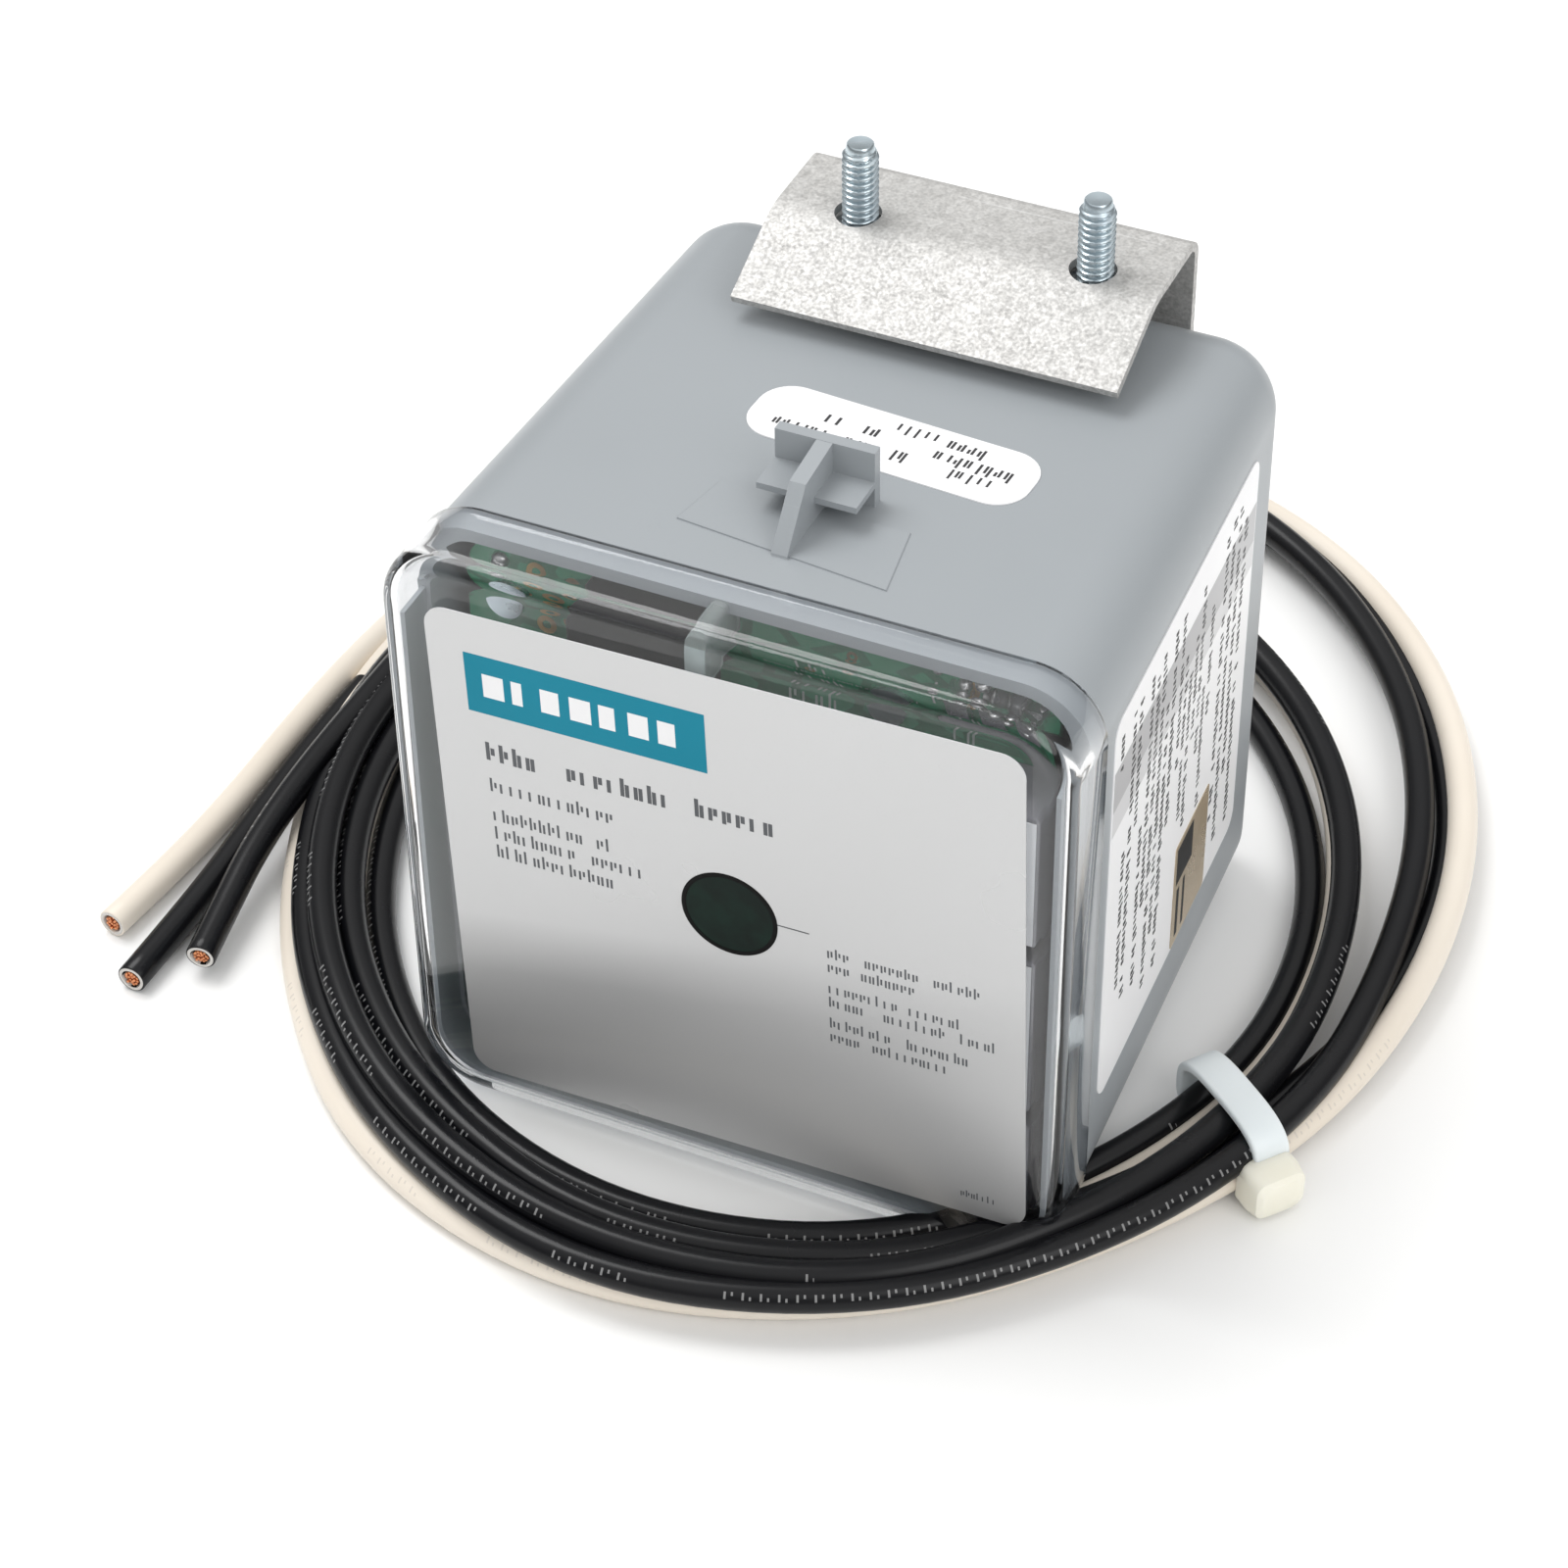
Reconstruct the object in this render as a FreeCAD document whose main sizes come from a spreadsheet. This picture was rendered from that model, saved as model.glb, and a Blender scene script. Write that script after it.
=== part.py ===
"""Whole house surge protector: a moulded box with a clear front cover, a sliding hanger
bracket on two threaded studs, and three coiled 10 AWG leads held by a cable tie.

Frame: millimetres, +Z up, the cover faces -Y. The origin is the centre of the flat base.
"""
import FreeCAD, Part
import math
import os

import Sketcher

DIMS = {
    # box
    "box_width": 101.6, "cover_height": 101.0, "housing_height": 100.4, "box_depth": 97.0,
    "corner_radius": 10.5, "front_edge_radius": 4.6, "back_edge_radius": 8.5,
    "side_draft": 0.0454, "lip_step": 0.6, "wall": 3.4,
    "seam_depth": 13.2, "rim_front": 9.3, "cover_wall": 2.0, "cover_gap": 0.1,
    "rib_thick": 3.0, "rib_tall": 9.0, "rib_offset": -3.0,
    # screws and the bracket
    "stud_left": -16.3, "stud_right": 19.9, "stud_back": 85.9, "stud_radius": 2.7,
    "stud_top": 122.5, "stud_clearance": 0.1, "head_radius": 5.0, "head_thick": 3.0,
    "neck_step": 0.3, "thread_gap": 0.2,
    "boss_radius": 4.5, "boss_gap": 1.3, "plate_top": 110.7, "sheet_thick": 1.4,
    "bracket_left": -28.8, "bracket_right": 30.3, "apron_front": 68.0, "apron_low": 104.1,
    "bend_depth": 82.7, "flange_back": 100.1, "flange_low": 90.0,
    "bend_radius": 12.0, "corner_bend": 3.2, "hole_radius": 3.45, "hole_shift": -0.35,
    # locating hook on the top
    "hook_middle": 0.6, "fin_thick": 2.4, "fin_front": 20.1, "fin_kink": 26.4,
    "fin_kink_top": 108.5, "hook_top": 109.4, "bar_half": 7.4, "bar_front": 35.2,
    "bar_back": 37.0, "shelf_front": 29.0, "shelf_low": 103.6, "shelf_thick": 1.0,
    # stickers
    "sticker_thick": 0.25, "front_label_width": 87.6, "front_label_height": 87.0,
    "front_label_x": 1.8, "front_label_z": 51.2, "front_label_radius": 3.5, "front_label_turn": 1.5,
    "window_x": 1.7, "window_z": 53.0, "window_radius": 7.3, "window_thick": 0.3,
    "rating_width": 43.0, "rating_depth": 12.6, "rating_x": 4.6, "rating_y": 49.1,
    "rating_radius": 5.0, "rating_turn": 3.5,
    "side_label_length": 64.5, "side_label_height": 69.8, "side_label_y": 50.15,
    "side_label_z": 54.0, "foil_length": 16.0, "foil_height": 20.0, "foil_y": 59.0, "foil_z": 29.5,
    # electronics
    "board_front": 14.0, "board_thick": 1.6, "board_half": 43.5, "board_low": 5.5, "board_high": 94.5,
    "post_radius": 3.4, "post_left": -37.0, "post_right": 20.0, "post_low": 13.0, "post_high": 87.0,
    "module_left": 26.0, "module_right": 45.4, "module_front": 4.0,
    "cutout_left": -24.0, "cutout_right": -5.0, "cutout_low": 80.0, "cutout_high": 94.0,
    "varistor_radius": 10.0, "varistor_thick": 5.5,
    # leads
    "lead_diameter": 4.75, "lead_pitch": 7.0, "lead_height": 16.0, "lead_start": 24.0,
    "bushing_half": 12.5, "bushing_flange": 2.5, "bushing_neck_half": 10.6, "bushing_neck_tall": 7.4,
    "bushing_flange_tall": 11.0, "coil_height": 13.0,
    "tie_width": 4.8, "tie_thick": 1.3, "tie_reach": 21.8, "tie_tall": 12.0, "tie_turn": -23.0,
    "tie_x": 65.1, "tie_y": 35.1,
}

doc = FreeCAD.newDocument("surge_protector")
sheet = doc.addObject("Spreadsheet::Sheet", "Dims")
for row, (alias, amount) in enumerate(DIMS.items(), 1):
    sheet.set(f"A{row}", alias)
    sheet.set(f"B{row}", str(amount))
    sheet.setAlias(f"B{row}", alias)
doc.recompute()
NODES = []


def d(text):
    """Spell out the sheet's name in front of each alias used in an expression."""
    words = []
    word = ""
    for letter in text + " ":
        if letter.isalnum() or letter in "_.":
            word += letter
            continue
        words.append(f"Dims.{word}" if word in DIMS else word)
        words.append(letter)
        word = ""
    return "".join(words).strip()


def number(text):
    """The value of an expression, for a starting position in a sketch."""
    value = sheet.evalExpression(d(str(text)))
    return float(getattr(value, "Value", value))


def bind(item, **expressions):
    for prop, text in expressions.items():
        item.setExpression(prop.replace("__", "."), d(str(text)))


def place(item, x=0, y=0, z=0):
    """Place by depth behind the cover's front face, so y=0 is the front of the box."""
    bind(item, Placement__Base__x=x, Placement__Base__y=f"({y}) - box_depth / 2", Placement__Base__z=z)
    return item


def node(item, name):
    item.Label = name
    NODES.append(item)
    return item


def block(name, x0, x1, y0, y1, z0, z1):
    item = doc.addObject("Part::Box", name)
    bind(item, Length=f"({x1}) - ({x0})", Width=f"({y1}) - ({y0})", Height=f"({z1}) - ({z0})")
    return place(item, x0, y0, z0)


def rod(name, radius, length, x, y, z, axis="z"):
    """A cylinder that starts at the given point and runs along +X, +Y or +Z."""
    turns = {"z": FreeCAD.Rotation(), "x": FreeCAD.Rotation(FreeCAD.Vector(0, 1, 0), 90),
             "y": FreeCAD.Rotation(FreeCAD.Vector(1, 0, 0), -90)}
    item = doc.addObject("Part::Cylinder", name)
    item.Placement = FreeCAD.Placement(FreeCAD.Vector(), turns[axis])
    bind(item, Radius=radius, Height=length)
    return place(item, x, y, z)


def fuse(name, pieces):
    item = doc.addObject("Part::MultiFuse", name)
    item.Shapes = pieces
    return item


def cut(name, base, tool):
    item = doc.addObject("Part::Cut", name)
    item.Base = base
    item.Tool = tool
    return item


def group(name, pieces):
    """Several separate solids of the same kind in one node."""
    item = doc.addObject("Part::Compound", name)
    item.Links = pieces
    return item


def new_body(name):
    body = doc.addObject("PartDesign::Body", name)
    return place(body)


def new_sketch(body, name, plane, level="0"):
    """A sketch on one of the body's origin planes, moved along the plane's normal by level."""
    sketch = body.newObject("Sketcher::SketchObject", name)
    support = [item for item in body.Origin.OriginFeatures if item.Role == plane][0]
    sketch.AttachmentSupport = [(support, "")]
    sketch.MapMode = "FlatFace"
    bind(sketch, AttachmentOffset__Base__z=level)
    return sketch


def drive(sketch, index, text):
    sketch.setExpression(f"Constraints[{index}]", d(str(text)))


def add_rounded(sketch, width, height, radius):
    """A rounded rectangle centred on the sketch's origin, fully constrained."""
    half_w, half_h, bend = number(width) / 2, number(height) / 2, number(radius)
    vector = FreeCAD.Vector
    flat_w, flat_h = half_w - bend, half_h - bend
    first = sketch.GeometryCount
    corners = ((1, 1), (-1, 1), (-1, -1), (1, -1))
    lines = (((half_w, -flat_h), (half_w, flat_h)), ((flat_w, half_h), (-flat_w, half_h)),
             ((-half_w, flat_h), (-half_w, -flat_h)), ((-flat_w, -half_h), (flat_w, -half_h)))
    for step in range(4):
        start, end = lines[step]
        sketch.addGeometry(Part.LineSegment(vector(*start, 0), vector(*end, 0)), False)
        centre = vector(corners[step][0] * flat_w, corners[step][1] * flat_h, 0)
        circle = Part.Circle(centre, vector(0, 0, 1), bend)
        sketch.addGeometry(Part.ArcOfCircle(circle, step * math.pi / 2, (step + 1) * math.pi / 2), False)
    line = [first + 2 * step for step in range(4)]
    arc = [first + 2 * step + 1 for step in range(4)]
    for step in range(4):
        sketch.addConstraint(Sketcher.Constraint("Tangent", line[step], 2, arc[step], 1))
        sketch.addConstraint(Sketcher.Constraint("Tangent", arc[step], 2, line[(step + 1) % 4], 1))
    for step in (0, 2):
        sketch.addConstraint(Sketcher.Constraint("Vertical", line[step]))
        sketch.addConstraint(Sketcher.Constraint("Horizontal", line[step + 1]))
    for step in (1, 2, 3):
        sketch.addConstraint(Sketcher.Constraint("Equal", arc[0], arc[step]))
    sketch.addConstraint(Sketcher.Constraint("Symmetric", line[0], 1, line[2], 1, -1, 1))
    drive(sketch, sketch.addConstraint(Sketcher.Constraint("Radius", arc[0], bend)), radius)
    across = Sketcher.Constraint("DistanceX", line[2], 1, line[0], 2, 2 * half_w)
    drive(sketch, sketch.addConstraint(across), width)
    upward = Sketcher.Constraint("DistanceY", line[3], 1, line[1], 1, 2 * half_h)
    drive(sketch, sketch.addConstraint(upward), height)


def add_polygon(sketch, points):
    """A closed outline of straight lines, each corner held by its two coordinates."""
    first = sketch.GeometryCount
    spots = [FreeCAD.Vector(number(u), number(v), 0) for u, v in points]
    for step, spot in enumerate(spots):
        sketch.addGeometry(Part.LineSegment(spot, spots[(step + 1) % len(spots)]), False)
    for step, (u, v) in enumerate(points):
        follower = first + (step + 1) % len(points)
        sketch.addConstraint(Sketcher.Constraint("Coincident", first + step, 2, follower, 1))
        across = Sketcher.Constraint("DistanceX", -1, 1, first + step, 1, spots[step].x)
        drive(sketch, sketch.addConstraint(across), u)
        upward = Sketcher.Constraint("DistanceY", -1, 1, first + step, 1, spots[step].y)
        drive(sketch, sketch.addConstraint(upward), v)


def centre_sketch(sketch, x, y):
    bind(sketch, AttachmentOffset__Base__x=x, AttachmentOffset__Base__y=y)


def pad(body, name, sketch, length):
    feature = body.newObject("PartDesign::Pad", name)
    feature.Profile = sketch
    bind(feature, Length=length)
    doc.recompute()
    return feature


def fillet(body, name, radius, wanted):
    """Round the edges of the body's tip that the test picks."""
    base = body.Tip
    names = [f"Edge{count}" for count, edge in enumerate(base.Shape.Edges, 1) if wanted(edge)]
    if not names:
        raise ValueError(f"{name}: no edge to round")
    feature = body.newObject("PartDesign::Fillet", name)
    feature.Base = (base, names)
    bind(feature, Radius=radius)
    doc.recompute()
    return feature


def edge_at(axis, level):
    """A test for edges that lie whole in one plane square to the axis."""
    def test(edge):
        low, high = getattr(edge.BoundBox, axis + "Min"), getattr(edge.BoundBox, axis + "Max")
        return abs(low - level) < 0.01 and abs(high - level) < 0.01
    return test


def section(body, name, depth, width, height, radius, middle):
    """A rounded upright section across the box at the given depth behind its front."""
    sketch = new_sketch(body, name, "XZ_Plane", f"-({depth})")
    centre_sketch(sketch, 0, middle)
    add_rounded(sketch, width, height, radius)
    return sketch


def loft(body, kind, name, front, back):
    feature = body.newObject(kind, name)
    feature.Profile = front
    feature.Sections = [back]
    doc.recompute()
    return feature


# ---------------------------------------------------------------- box

SEAM_WIDTH = "box_width - 2 * lip_step"
BACK_WIDTH = "box_width - 2 * lip_step - 2 * side_draft * (box_depth - seam_depth)"
COVER_INSIDE = "box_width - 2 * cover_wall - 2 * cover_gap"


def housing_shell():
    """The moulded cup: drafted sides, round back edges, and a rim that plugs into the cover."""
    body = new_body("shell")
    plan = new_sketch(body, "plan", "XY_Plane")
    half_front, half_back = f"({SEAM_WIDTH}) / 2", f"({BACK_WIDTH}) / 2"
    add_polygon(plan, (("-" + half_front, "seam_depth"), (half_front, "seam_depth"),
                       (half_back, "box_depth"), ("-" + half_back, "box_depth")))
    pad(body, "outer", plan, "housing_height")
    depth = number("box_depth - seam_depth")

    def runs_back(edge):
        return abs(edge.BoundBox.YLength - depth) < 0.01 and edge.BoundBox.ZLength < 0.01
    fillet(body, "long_edges", "corner_radius", runs_back)
    fillet(body, "back_edge", "back_edge_radius", edge_at("Y", number("box_depth")))
    rim = section(body, "rim_outline", "seam_depth", COVER_INSIDE,
                  "cover_height - 2 * cover_wall - 2 * cover_gap", "corner_radius - cover_wall",
                  "cover_height / 2")
    pad(body, "rim", rim, "seam_depth - rim_front")
    inside_front = section(body, "cavity_front", "rim_front", f"{SEAM_WIDTH} - 2 * wall",
                           "housing_height - 2 * wall", "corner_radius - wall", "housing_height / 2")
    inside_back = section(body, "cavity_back", "box_depth - wall", f"{BACK_WIDTH} - 2 * wall",
                          "housing_height - 2 * wall", "corner_radius - wall", "housing_height / 2")
    loft(body, "PartDesign::SubtractiveLoft", "cavity", inside_front, inside_back)
    return body


def hook():
    """The T-shaped locating hook: a fin with a sloped front, a cross bar and a small shelf."""
    body = new_body("hook_fin")
    sketch = new_sketch(body, "fin_outline", "YZ_Plane", "hook_middle - fin_thick / 2")
    root = "housing_height - 1"
    add_polygon(sketch, (("fin_front", root), ("fin_front", "housing_height + 0.4"),
                         ("fin_kink", "fin_kink_top"), ("bar_front + 0.5", "hook_top"),
                         ("bar_front + 0.5", root)))
    pad(body, "fin", sketch, "fin_thick")
    left, right = "hook_middle - bar_half", "hook_middle + bar_half"
    bar = block("hook_bar", left, right, "bar_front", "bar_back", root, "hook_top")
    shelf = block("hook_shelf", left, right, "shelf_front", "bar_front + 0.5", "shelf_low",
                  "shelf_low + shelf_thick")
    return [body, bar, shelf]


def post_spots():
    return [(side, height) for side in ("post_left", "post_right") for height in ("post_low", "post_high")]


def housing():
    boss_top = "plate_top - sheet_thick - boss_gap"
    solids = [housing_shell()] + hook()
    for side in ("stud_left", "stud_right"):
        solids.append(rod(f"boss_{side}", "boss_radius", f"{boss_top} - housing_height + wall / 2",
                          side, "stud_back", "housing_height - wall / 2"))
    for count, (side, height) in enumerate(post_spots()):
        solids.append(rod(f"post_{count}", "post_radius",
                          "box_depth - wall / 2 - board_front - board_thick",
                          side, "board_front + board_thick", height, "y"))
    holes = [rod(f"hole_{side}", "stud_radius - neck_step + stud_clearance", 20, side, "stud_back",
                 "housing_height - wall - 1") for side in ("stud_left", "stud_right")]
    holes.append(block("lead_slot", "-bushing_neck_half", "bushing_neck_half",
                       "box_depth - wall - 1", "box_depth + 1",
                       "lead_height - bushing_neck_tall / 2", "lead_height + bushing_neck_tall / 2"))
    for count, (side, height) in enumerate(post_spots()):
        holes.append(rod(f"pilot_{count}", 1.3, 9, side, "board_front + board_thick - 0.5", height, "y"))
    item = cut("housing_cut", fuse("housing_solids", solids), fuse("housing_holes", holes))
    return node(item, "housing")


def clear_cover():
    """A clear cup with a soft front edge and a rib behind its top wall."""
    body = new_body("cover_cup")
    middle = "cover_height / 2"
    outline = section(body, "cover_outline", "seam_depth", "box_width", "cover_height",
                      "corner_radius", middle)
    pad(body, "cover_block", outline, "seam_depth")
    fillet(body, "front_edge", "front_edge_radius", edge_at("Y", 0))
    inside = section(body, "cover_inside", "seam_depth", "box_width - 2 * cover_wall",
                     "cover_height - 2 * cover_wall", "corner_radius - cover_wall", middle)
    pocket = body.newObject("PartDesign::Pocket", "cover_hollow")
    pocket.Profile = inside
    pocket.Reversed = True
    bind(pocket, Length="seam_depth - cover_wall")
    doc.recompute()
    rib = block("cover_rib", "rib_offset - rib_thick / 2", "rib_offset + rib_thick / 2",
                "cover_wall / 2", "rim_front - 0.5",
                "cover_height - cover_wall / 2 - rib_tall", "cover_height - cover_wall / 2")
    return node(fuse("cover_with_rib", [body, rib]), "clear_cover")


# ---------------------------------------------------------------- stickers and window

def plate(name, width, height, radius, thick):
    """A thin rounded plate whose back lies on the body's XZ plane and that faces -Y."""
    body = new_body(f"{name}_plate")
    sketch = new_sketch(body, f"{name}_outline", "XZ_Plane")
    add_rounded(sketch, width, height, radius)
    pad(body, f"{name}_pad", sketch, thick)
    return body


def turned(item, rotation, x, y, z):
    item.Placement = FreeCAD.Placement(FreeCAD.Vector(), rotation)
    return place(item, x, y, z)


def front_label():
    turn = FreeCAD.Rotation(FreeCAD.Vector(0, 1, 0), -number("front_label_turn"))
    sheet_piece = plate("front_label", "front_label_width", "front_label_height",
                        "front_label_radius", "sticker_thick")
    turned(sheet_piece, turn, "front_label_x", 0, "front_label_z")
    hole = rod("label_hole", "window_radius", 2, "window_x", -1, "window_z", "y")
    node(cut("front_label_cut", sheet_piece, hole), "front_label")
    node(rod("window_disc", "window_radius - 0.05", "window_thick", "window_x", "-window_thick",
             "window_z", "y"), "status_window")


def rating_label():
    body = plate("rating_label", "rating_width", "rating_depth", "rating_radius", "sticker_thick")
    flat = FreeCAD.Rotation(FreeCAD.Vector(1, 0, 0), -90)
    spin = FreeCAD.Rotation(FreeCAD.Vector(0, 0, 1), -number("rating_turn"))
    node(turned(body, spin * flat, "rating_x", "rating_y", "housing_height"), "rating_label")


def side_stickers():
    """The notice label on the drafted right side, and the foil seal on top of it."""
    draft = math.degrees(math.atan(number("side_draft")))
    face = FreeCAD.Rotation(FreeCAD.Vector(0, 0, 1), 90 + draft)
    wall_x = "box_width / 2 - lip_step - side_draft * ({0} - seam_depth) + {1}"
    body = plate("side_label", "side_label_length", "side_label_height", 1.5, "sticker_thick")
    node(turned(body, face, wall_x.format("side_label_y", 0), "side_label_y", "side_label_z"),
         "side_label")
    body = plate("foil_seal", "foil_length", "foil_height", 0.6, "sticker_thick")
    node(turned(body, face, wall_x.format("foil_y", "sticker_thick + 0.02"), "foil_y", "foil_z"),
         "foil_seal")


# ---------------------------------------------------------------- bracket and screws

def hanger_bracket():
    """Bent sheet: a sloped apron, a flat top with two clearance holes, and a back flange."""
    body = new_body("bracket_sheet")
    rise = number("plate_top") - number("apron_low")
    slope = math.atan2(rise, number("bend_depth") - number("apron_front"))
    under = f"sheet_thick * {math.sin(slope):.6f}"
    below = f"sheet_thick * {math.cos(slope):.6f}"
    inner_bend = f"bend_depth + sheet_thick * {math.tan(slope / 2):.6f}"
    sketch = new_sketch(body, "bracket_profile", "YZ_Plane", "bracket_left")
    add_polygon(sketch, (
        ("apron_front", "apron_low"), ("bend_depth", "plate_top"), ("flange_back", "plate_top"),
        ("flange_back", "flange_low"), ("flange_back - sheet_thick", "flange_low"),
        ("flange_back - sheet_thick", "plate_top - sheet_thick"),
        (inner_bend, "plate_top - sheet_thick"),
        (f"apron_front + {under}", f"apron_low - {below}")))
    pad(body, "bracket_pad", sketch, "bracket_right - bracket_left")

    def along(depth, height):
        def test(edge):
            box = edge.BoundBox
            return (box.YLength < 0.01 and box.ZLength < 0.01 and abs(box.YMin - number(depth)) < 0.01
                    and abs(box.ZMin - number(height)) < 0.01)
        return test
    thick_low = "plate_top - sheet_thick"
    fillet(body, "bend_top", "bend_radius", along("bend_depth", "plate_top"))
    fillet(body, "bend_under", "bend_radius - sheet_thick", along(inner_bend, thick_low))
    fillet(body, "corner_top", "corner_bend", along("flange_back", "plate_top"))
    fillet(body, "corner_under", "corner_bend - sheet_thick", along("flange_back - sheet_thick", thick_low))
    holes = [rod(f"bracket_hole_{side}", "hole_radius", 10, f"{side} + hole_shift", "stud_back",
                 "plate_top - 5") for side in ("stud_left", "stud_right")]
    node(cut("bracket_cut", body, fuse("bracket_holes", holes)), "hanger_bracket")


def mounting_screws():
    """Two screws pushed up through the top wall, heads inside, threads standing proud."""
    inside_top = "housing_height - wall"
    for side, name in (("stud_left", "mounting_screw_left"), ("stud_right", "mounting_screw_right")):
        head = rod(f"head_{side}", "head_radius", "head_thick", side, "stud_back",
                   f"{inside_top} - head_thick")
        shank = rod(f"shank_{side}", "stud_radius - neck_step", f"stud_top - 2 - ({inside_top})", side,
                    "stud_back", f"{inside_top} - 1")
        thread = rod(f"thread_{side}", "stud_radius", "stud_top - plate_top - thread_gap", side,
                     "stud_back", "plate_top + thread_gap")
        node(fuse(f"screw_{side}", [head, shank, thread]), name)


# ---------------------------------------------------------------- electronics

def circuit_board():
    body = new_body("board_plate")
    sketch = new_sketch(body, "board_outline", "XZ_Plane", "-(board_front + board_thick)")
    centre_sketch(sketch, 0, "(board_low + board_high) / 2")
    add_rounded(sketch, "2 * board_half", "board_high - board_low", 5)
    pad(body, "board_pad", sketch, "board_thick")
    holes = [rod(f"board_hole_{count}", 1.6, 10, side, "board_front - 4", height, "y")
             for count, (side, height) in enumerate(post_spots())]
    node(cut("board_cut", body, fuse("board_holes", holes)), "circuit_board")
    screws = []
    for count, (side, height) in enumerate(post_spots()):
        head = rod(f"board_head_{count}", 2.8, 1.8, side, "board_front - 1.8", height, "y")
        shank = rod(f"board_shank_{count}", 1.3, 9, side, "board_front - 0.9", height, "y")
        screws.append(fuse(f"board_screw_{count}", [head, shank]))
    node(group("board_screw_set", screws), "board_screws")


def front_parts():
    """What stands on the board's front face, behind the clear cover."""
    rows = (("top", 60.0, 83.0), ("middle", 28.8, 57.3), ("bottom", 7.4, 26.1))
    for name, low, high in rows:
        node(block(f"module_{name}", "module_left", "module_right", "module_front",
                   "board_front", low, high), f"surge_module_{name}")
    node(block("cutout_block", "cutout_left", "cutout_right", "module_front + 1.5",
               "board_front", "cutout_low", "cutout_high"), "thermal_cutout")
    node(rod("light_pipe_rod", 3.0, "board_front - 2.6 - cover_wall", "window_x", "cover_wall",
             "window_z", "y"), "status_light_pipe")
    lamps = [rod(f"lamp_{step}", 1.1, 2.4, f"window_x + {step} * 1.5", "board_front - 2.4",
                 "window_z", "y") for step in (-1, 1)]
    node(group("lamp_set", lamps), "status_leds")
    lugs = [block(f"lug_{step}", f"{30 + 5 * step} - 1.6", f"{30 + 5 * step} + 1.6",
                  "board_front - 2", "board_front", 87, 92.5) for step in range(3)]
    node(group("lug_set", lugs), "lead_terminals")


def back_parts():
    """What stands on the board's back face, inside the housing."""
    back = "board_front + board_thick"
    discs = [rod(f"disc_{row}_{step}", "varistor_radius", "varistor_thick",
                 f"{-22 + 22 * step}", f"{back} + 1.5", 34 + 23 * row, "y")
             for row in range(2) for step in range(3)]
    node(group("disc_set", discs), "varistors")
    fuses = [rod(f"fuse_{step}", 2.2, 14, f"{-22 + 22 * step} - 7", f"{back} + 3", 78, "x")
             for step in range(3)]
    node(group("fuse_set", fuses), "thermal_fuses")
    boxes = [block(f"film_box_{step}", -40, -34, back, f"{back} + 12", 24 + 24 * step, 40 + 24 * step)
             for step in range(2)]
    node(group("film_box_set", boxes), "filter_capacitors")


# ---------------------------------------------------------------- leads

def lead_places():
    return [f"{step} * lead_pitch" for step in (-1, 0, 1)]


def lead_bushing():
    """A grommet through the back wall, with one hole for each lead, and the leads' inner ends."""
    wall_in, face = "box_depth - wall", "box_depth + bushing_flange"
    tall = ("lead_height - {0} / 2", "lead_height + {0} / 2")
    flange = [part.format("bushing_flange_tall") for part in tall]
    neck = [part.format("bushing_neck_tall") for part in tall]
    solid = fuse("bushing_solids", [
        block("bushing_outer", "-bushing_half", "bushing_half", "box_depth", face, *flange),
        block("bushing_inner", "-bushing_half", "bushing_half", f"{wall_in} - 2", wall_in, *flange),
        block("bushing_neck", "-bushing_neck_half", "bushing_neck_half", f"{wall_in} - 0.5",
              "box_depth + 0.5", *neck)])
    holes = [rod(f"bushing_hole_{count}", "lead_diameter / 2", 30, x, "box_depth - 20",
                 "lead_height", "y") for count, x in enumerate(lead_places())]
    node(cut("bushing_cut", solid, fuse("bushing_holes", holes)), "lead_bushing")
    inner = [rod(f"inner_lead_{count}", "lead_diameter / 2", f"{face} - lead_start", x, "lead_start",
                 "lead_height", "y") for count, x in enumerate(lead_places())]
    node(group("inner_lead_set", inner), "inner_leads")


# Routes in the part's own frame, in the order that a lead leaves the box.
BACK = DIMS["box_depth"] / 2 + DIMS["bushing_flange"]
EXITS = {
    "lead_exit_left": [(-7, BACK, 16), (-8, 66, 13.5), (-14, 81, 8.6), (-26, 93, 5.2), (-41, 101, 4)],
    "lead_exit_middle": [(0, BACK, 16), (-1, 67, 13.5), (-7, 83, 8.6), (-19, 96, 5.2), (-34, 105, 4)],
    "lead_exit_right": [(7, BACK, 16), (6, 68, 13.5), (0, 85, 8.6), (-12, 99, 5.2), (-27, 109, 4)],
}
TAILS = {
    "lead_tail_neutral": [(-88, 86.5, 2.5), (-98, 69.5, 2.5), (-103, 51, 2.5), (-105.3, 32, 2.5),
                          (-106, 13, 2.5), (-105.9, -6, 2.5), (-106.8, -23.5, 2.5), (-109, -40.5, 2.5)],
    "lead_tail_line_one": [(-84, 84, 2.5), (-93.5, 67.5, 2.5), (-98.2, 49, 2.5), (-100.4, 30, 2.5),
                           (-101, 11, 2.5), (-100.4, -8.5, 2.5), (-99.3, -29.5, 2.5), (-99.8, -50, 2.5)],
    "lead_tail_line_two": [(-80, 82, 7), (-88.5, 66, 8), (-92.9, 49, 8.5), (-94.4, 31, 8.6),
                           (-94.9, 13, 8.5), (-95.3, -4, 8), (-94.9, -20, 6.6), (-93.1, -33, 5),
                           (-91.5, -43, 4.2)],
}
COIL_INSIDE = [
    (57.5, 27.5), (52.5, 63.5), (30, 90.5), (-9, 101), (-45, 91.5), (-67, 66.5), (-73.5, 29.5),
    (-70, -6.5), (-62, -33), (-53, -46), (-46, -53.5), (-30, -58), (-9, -60), (12, -58.5),
    (30, -55.5), (45, -53.5), (54.5, -47), (57.3, -30), (56.2, -5)]
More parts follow.
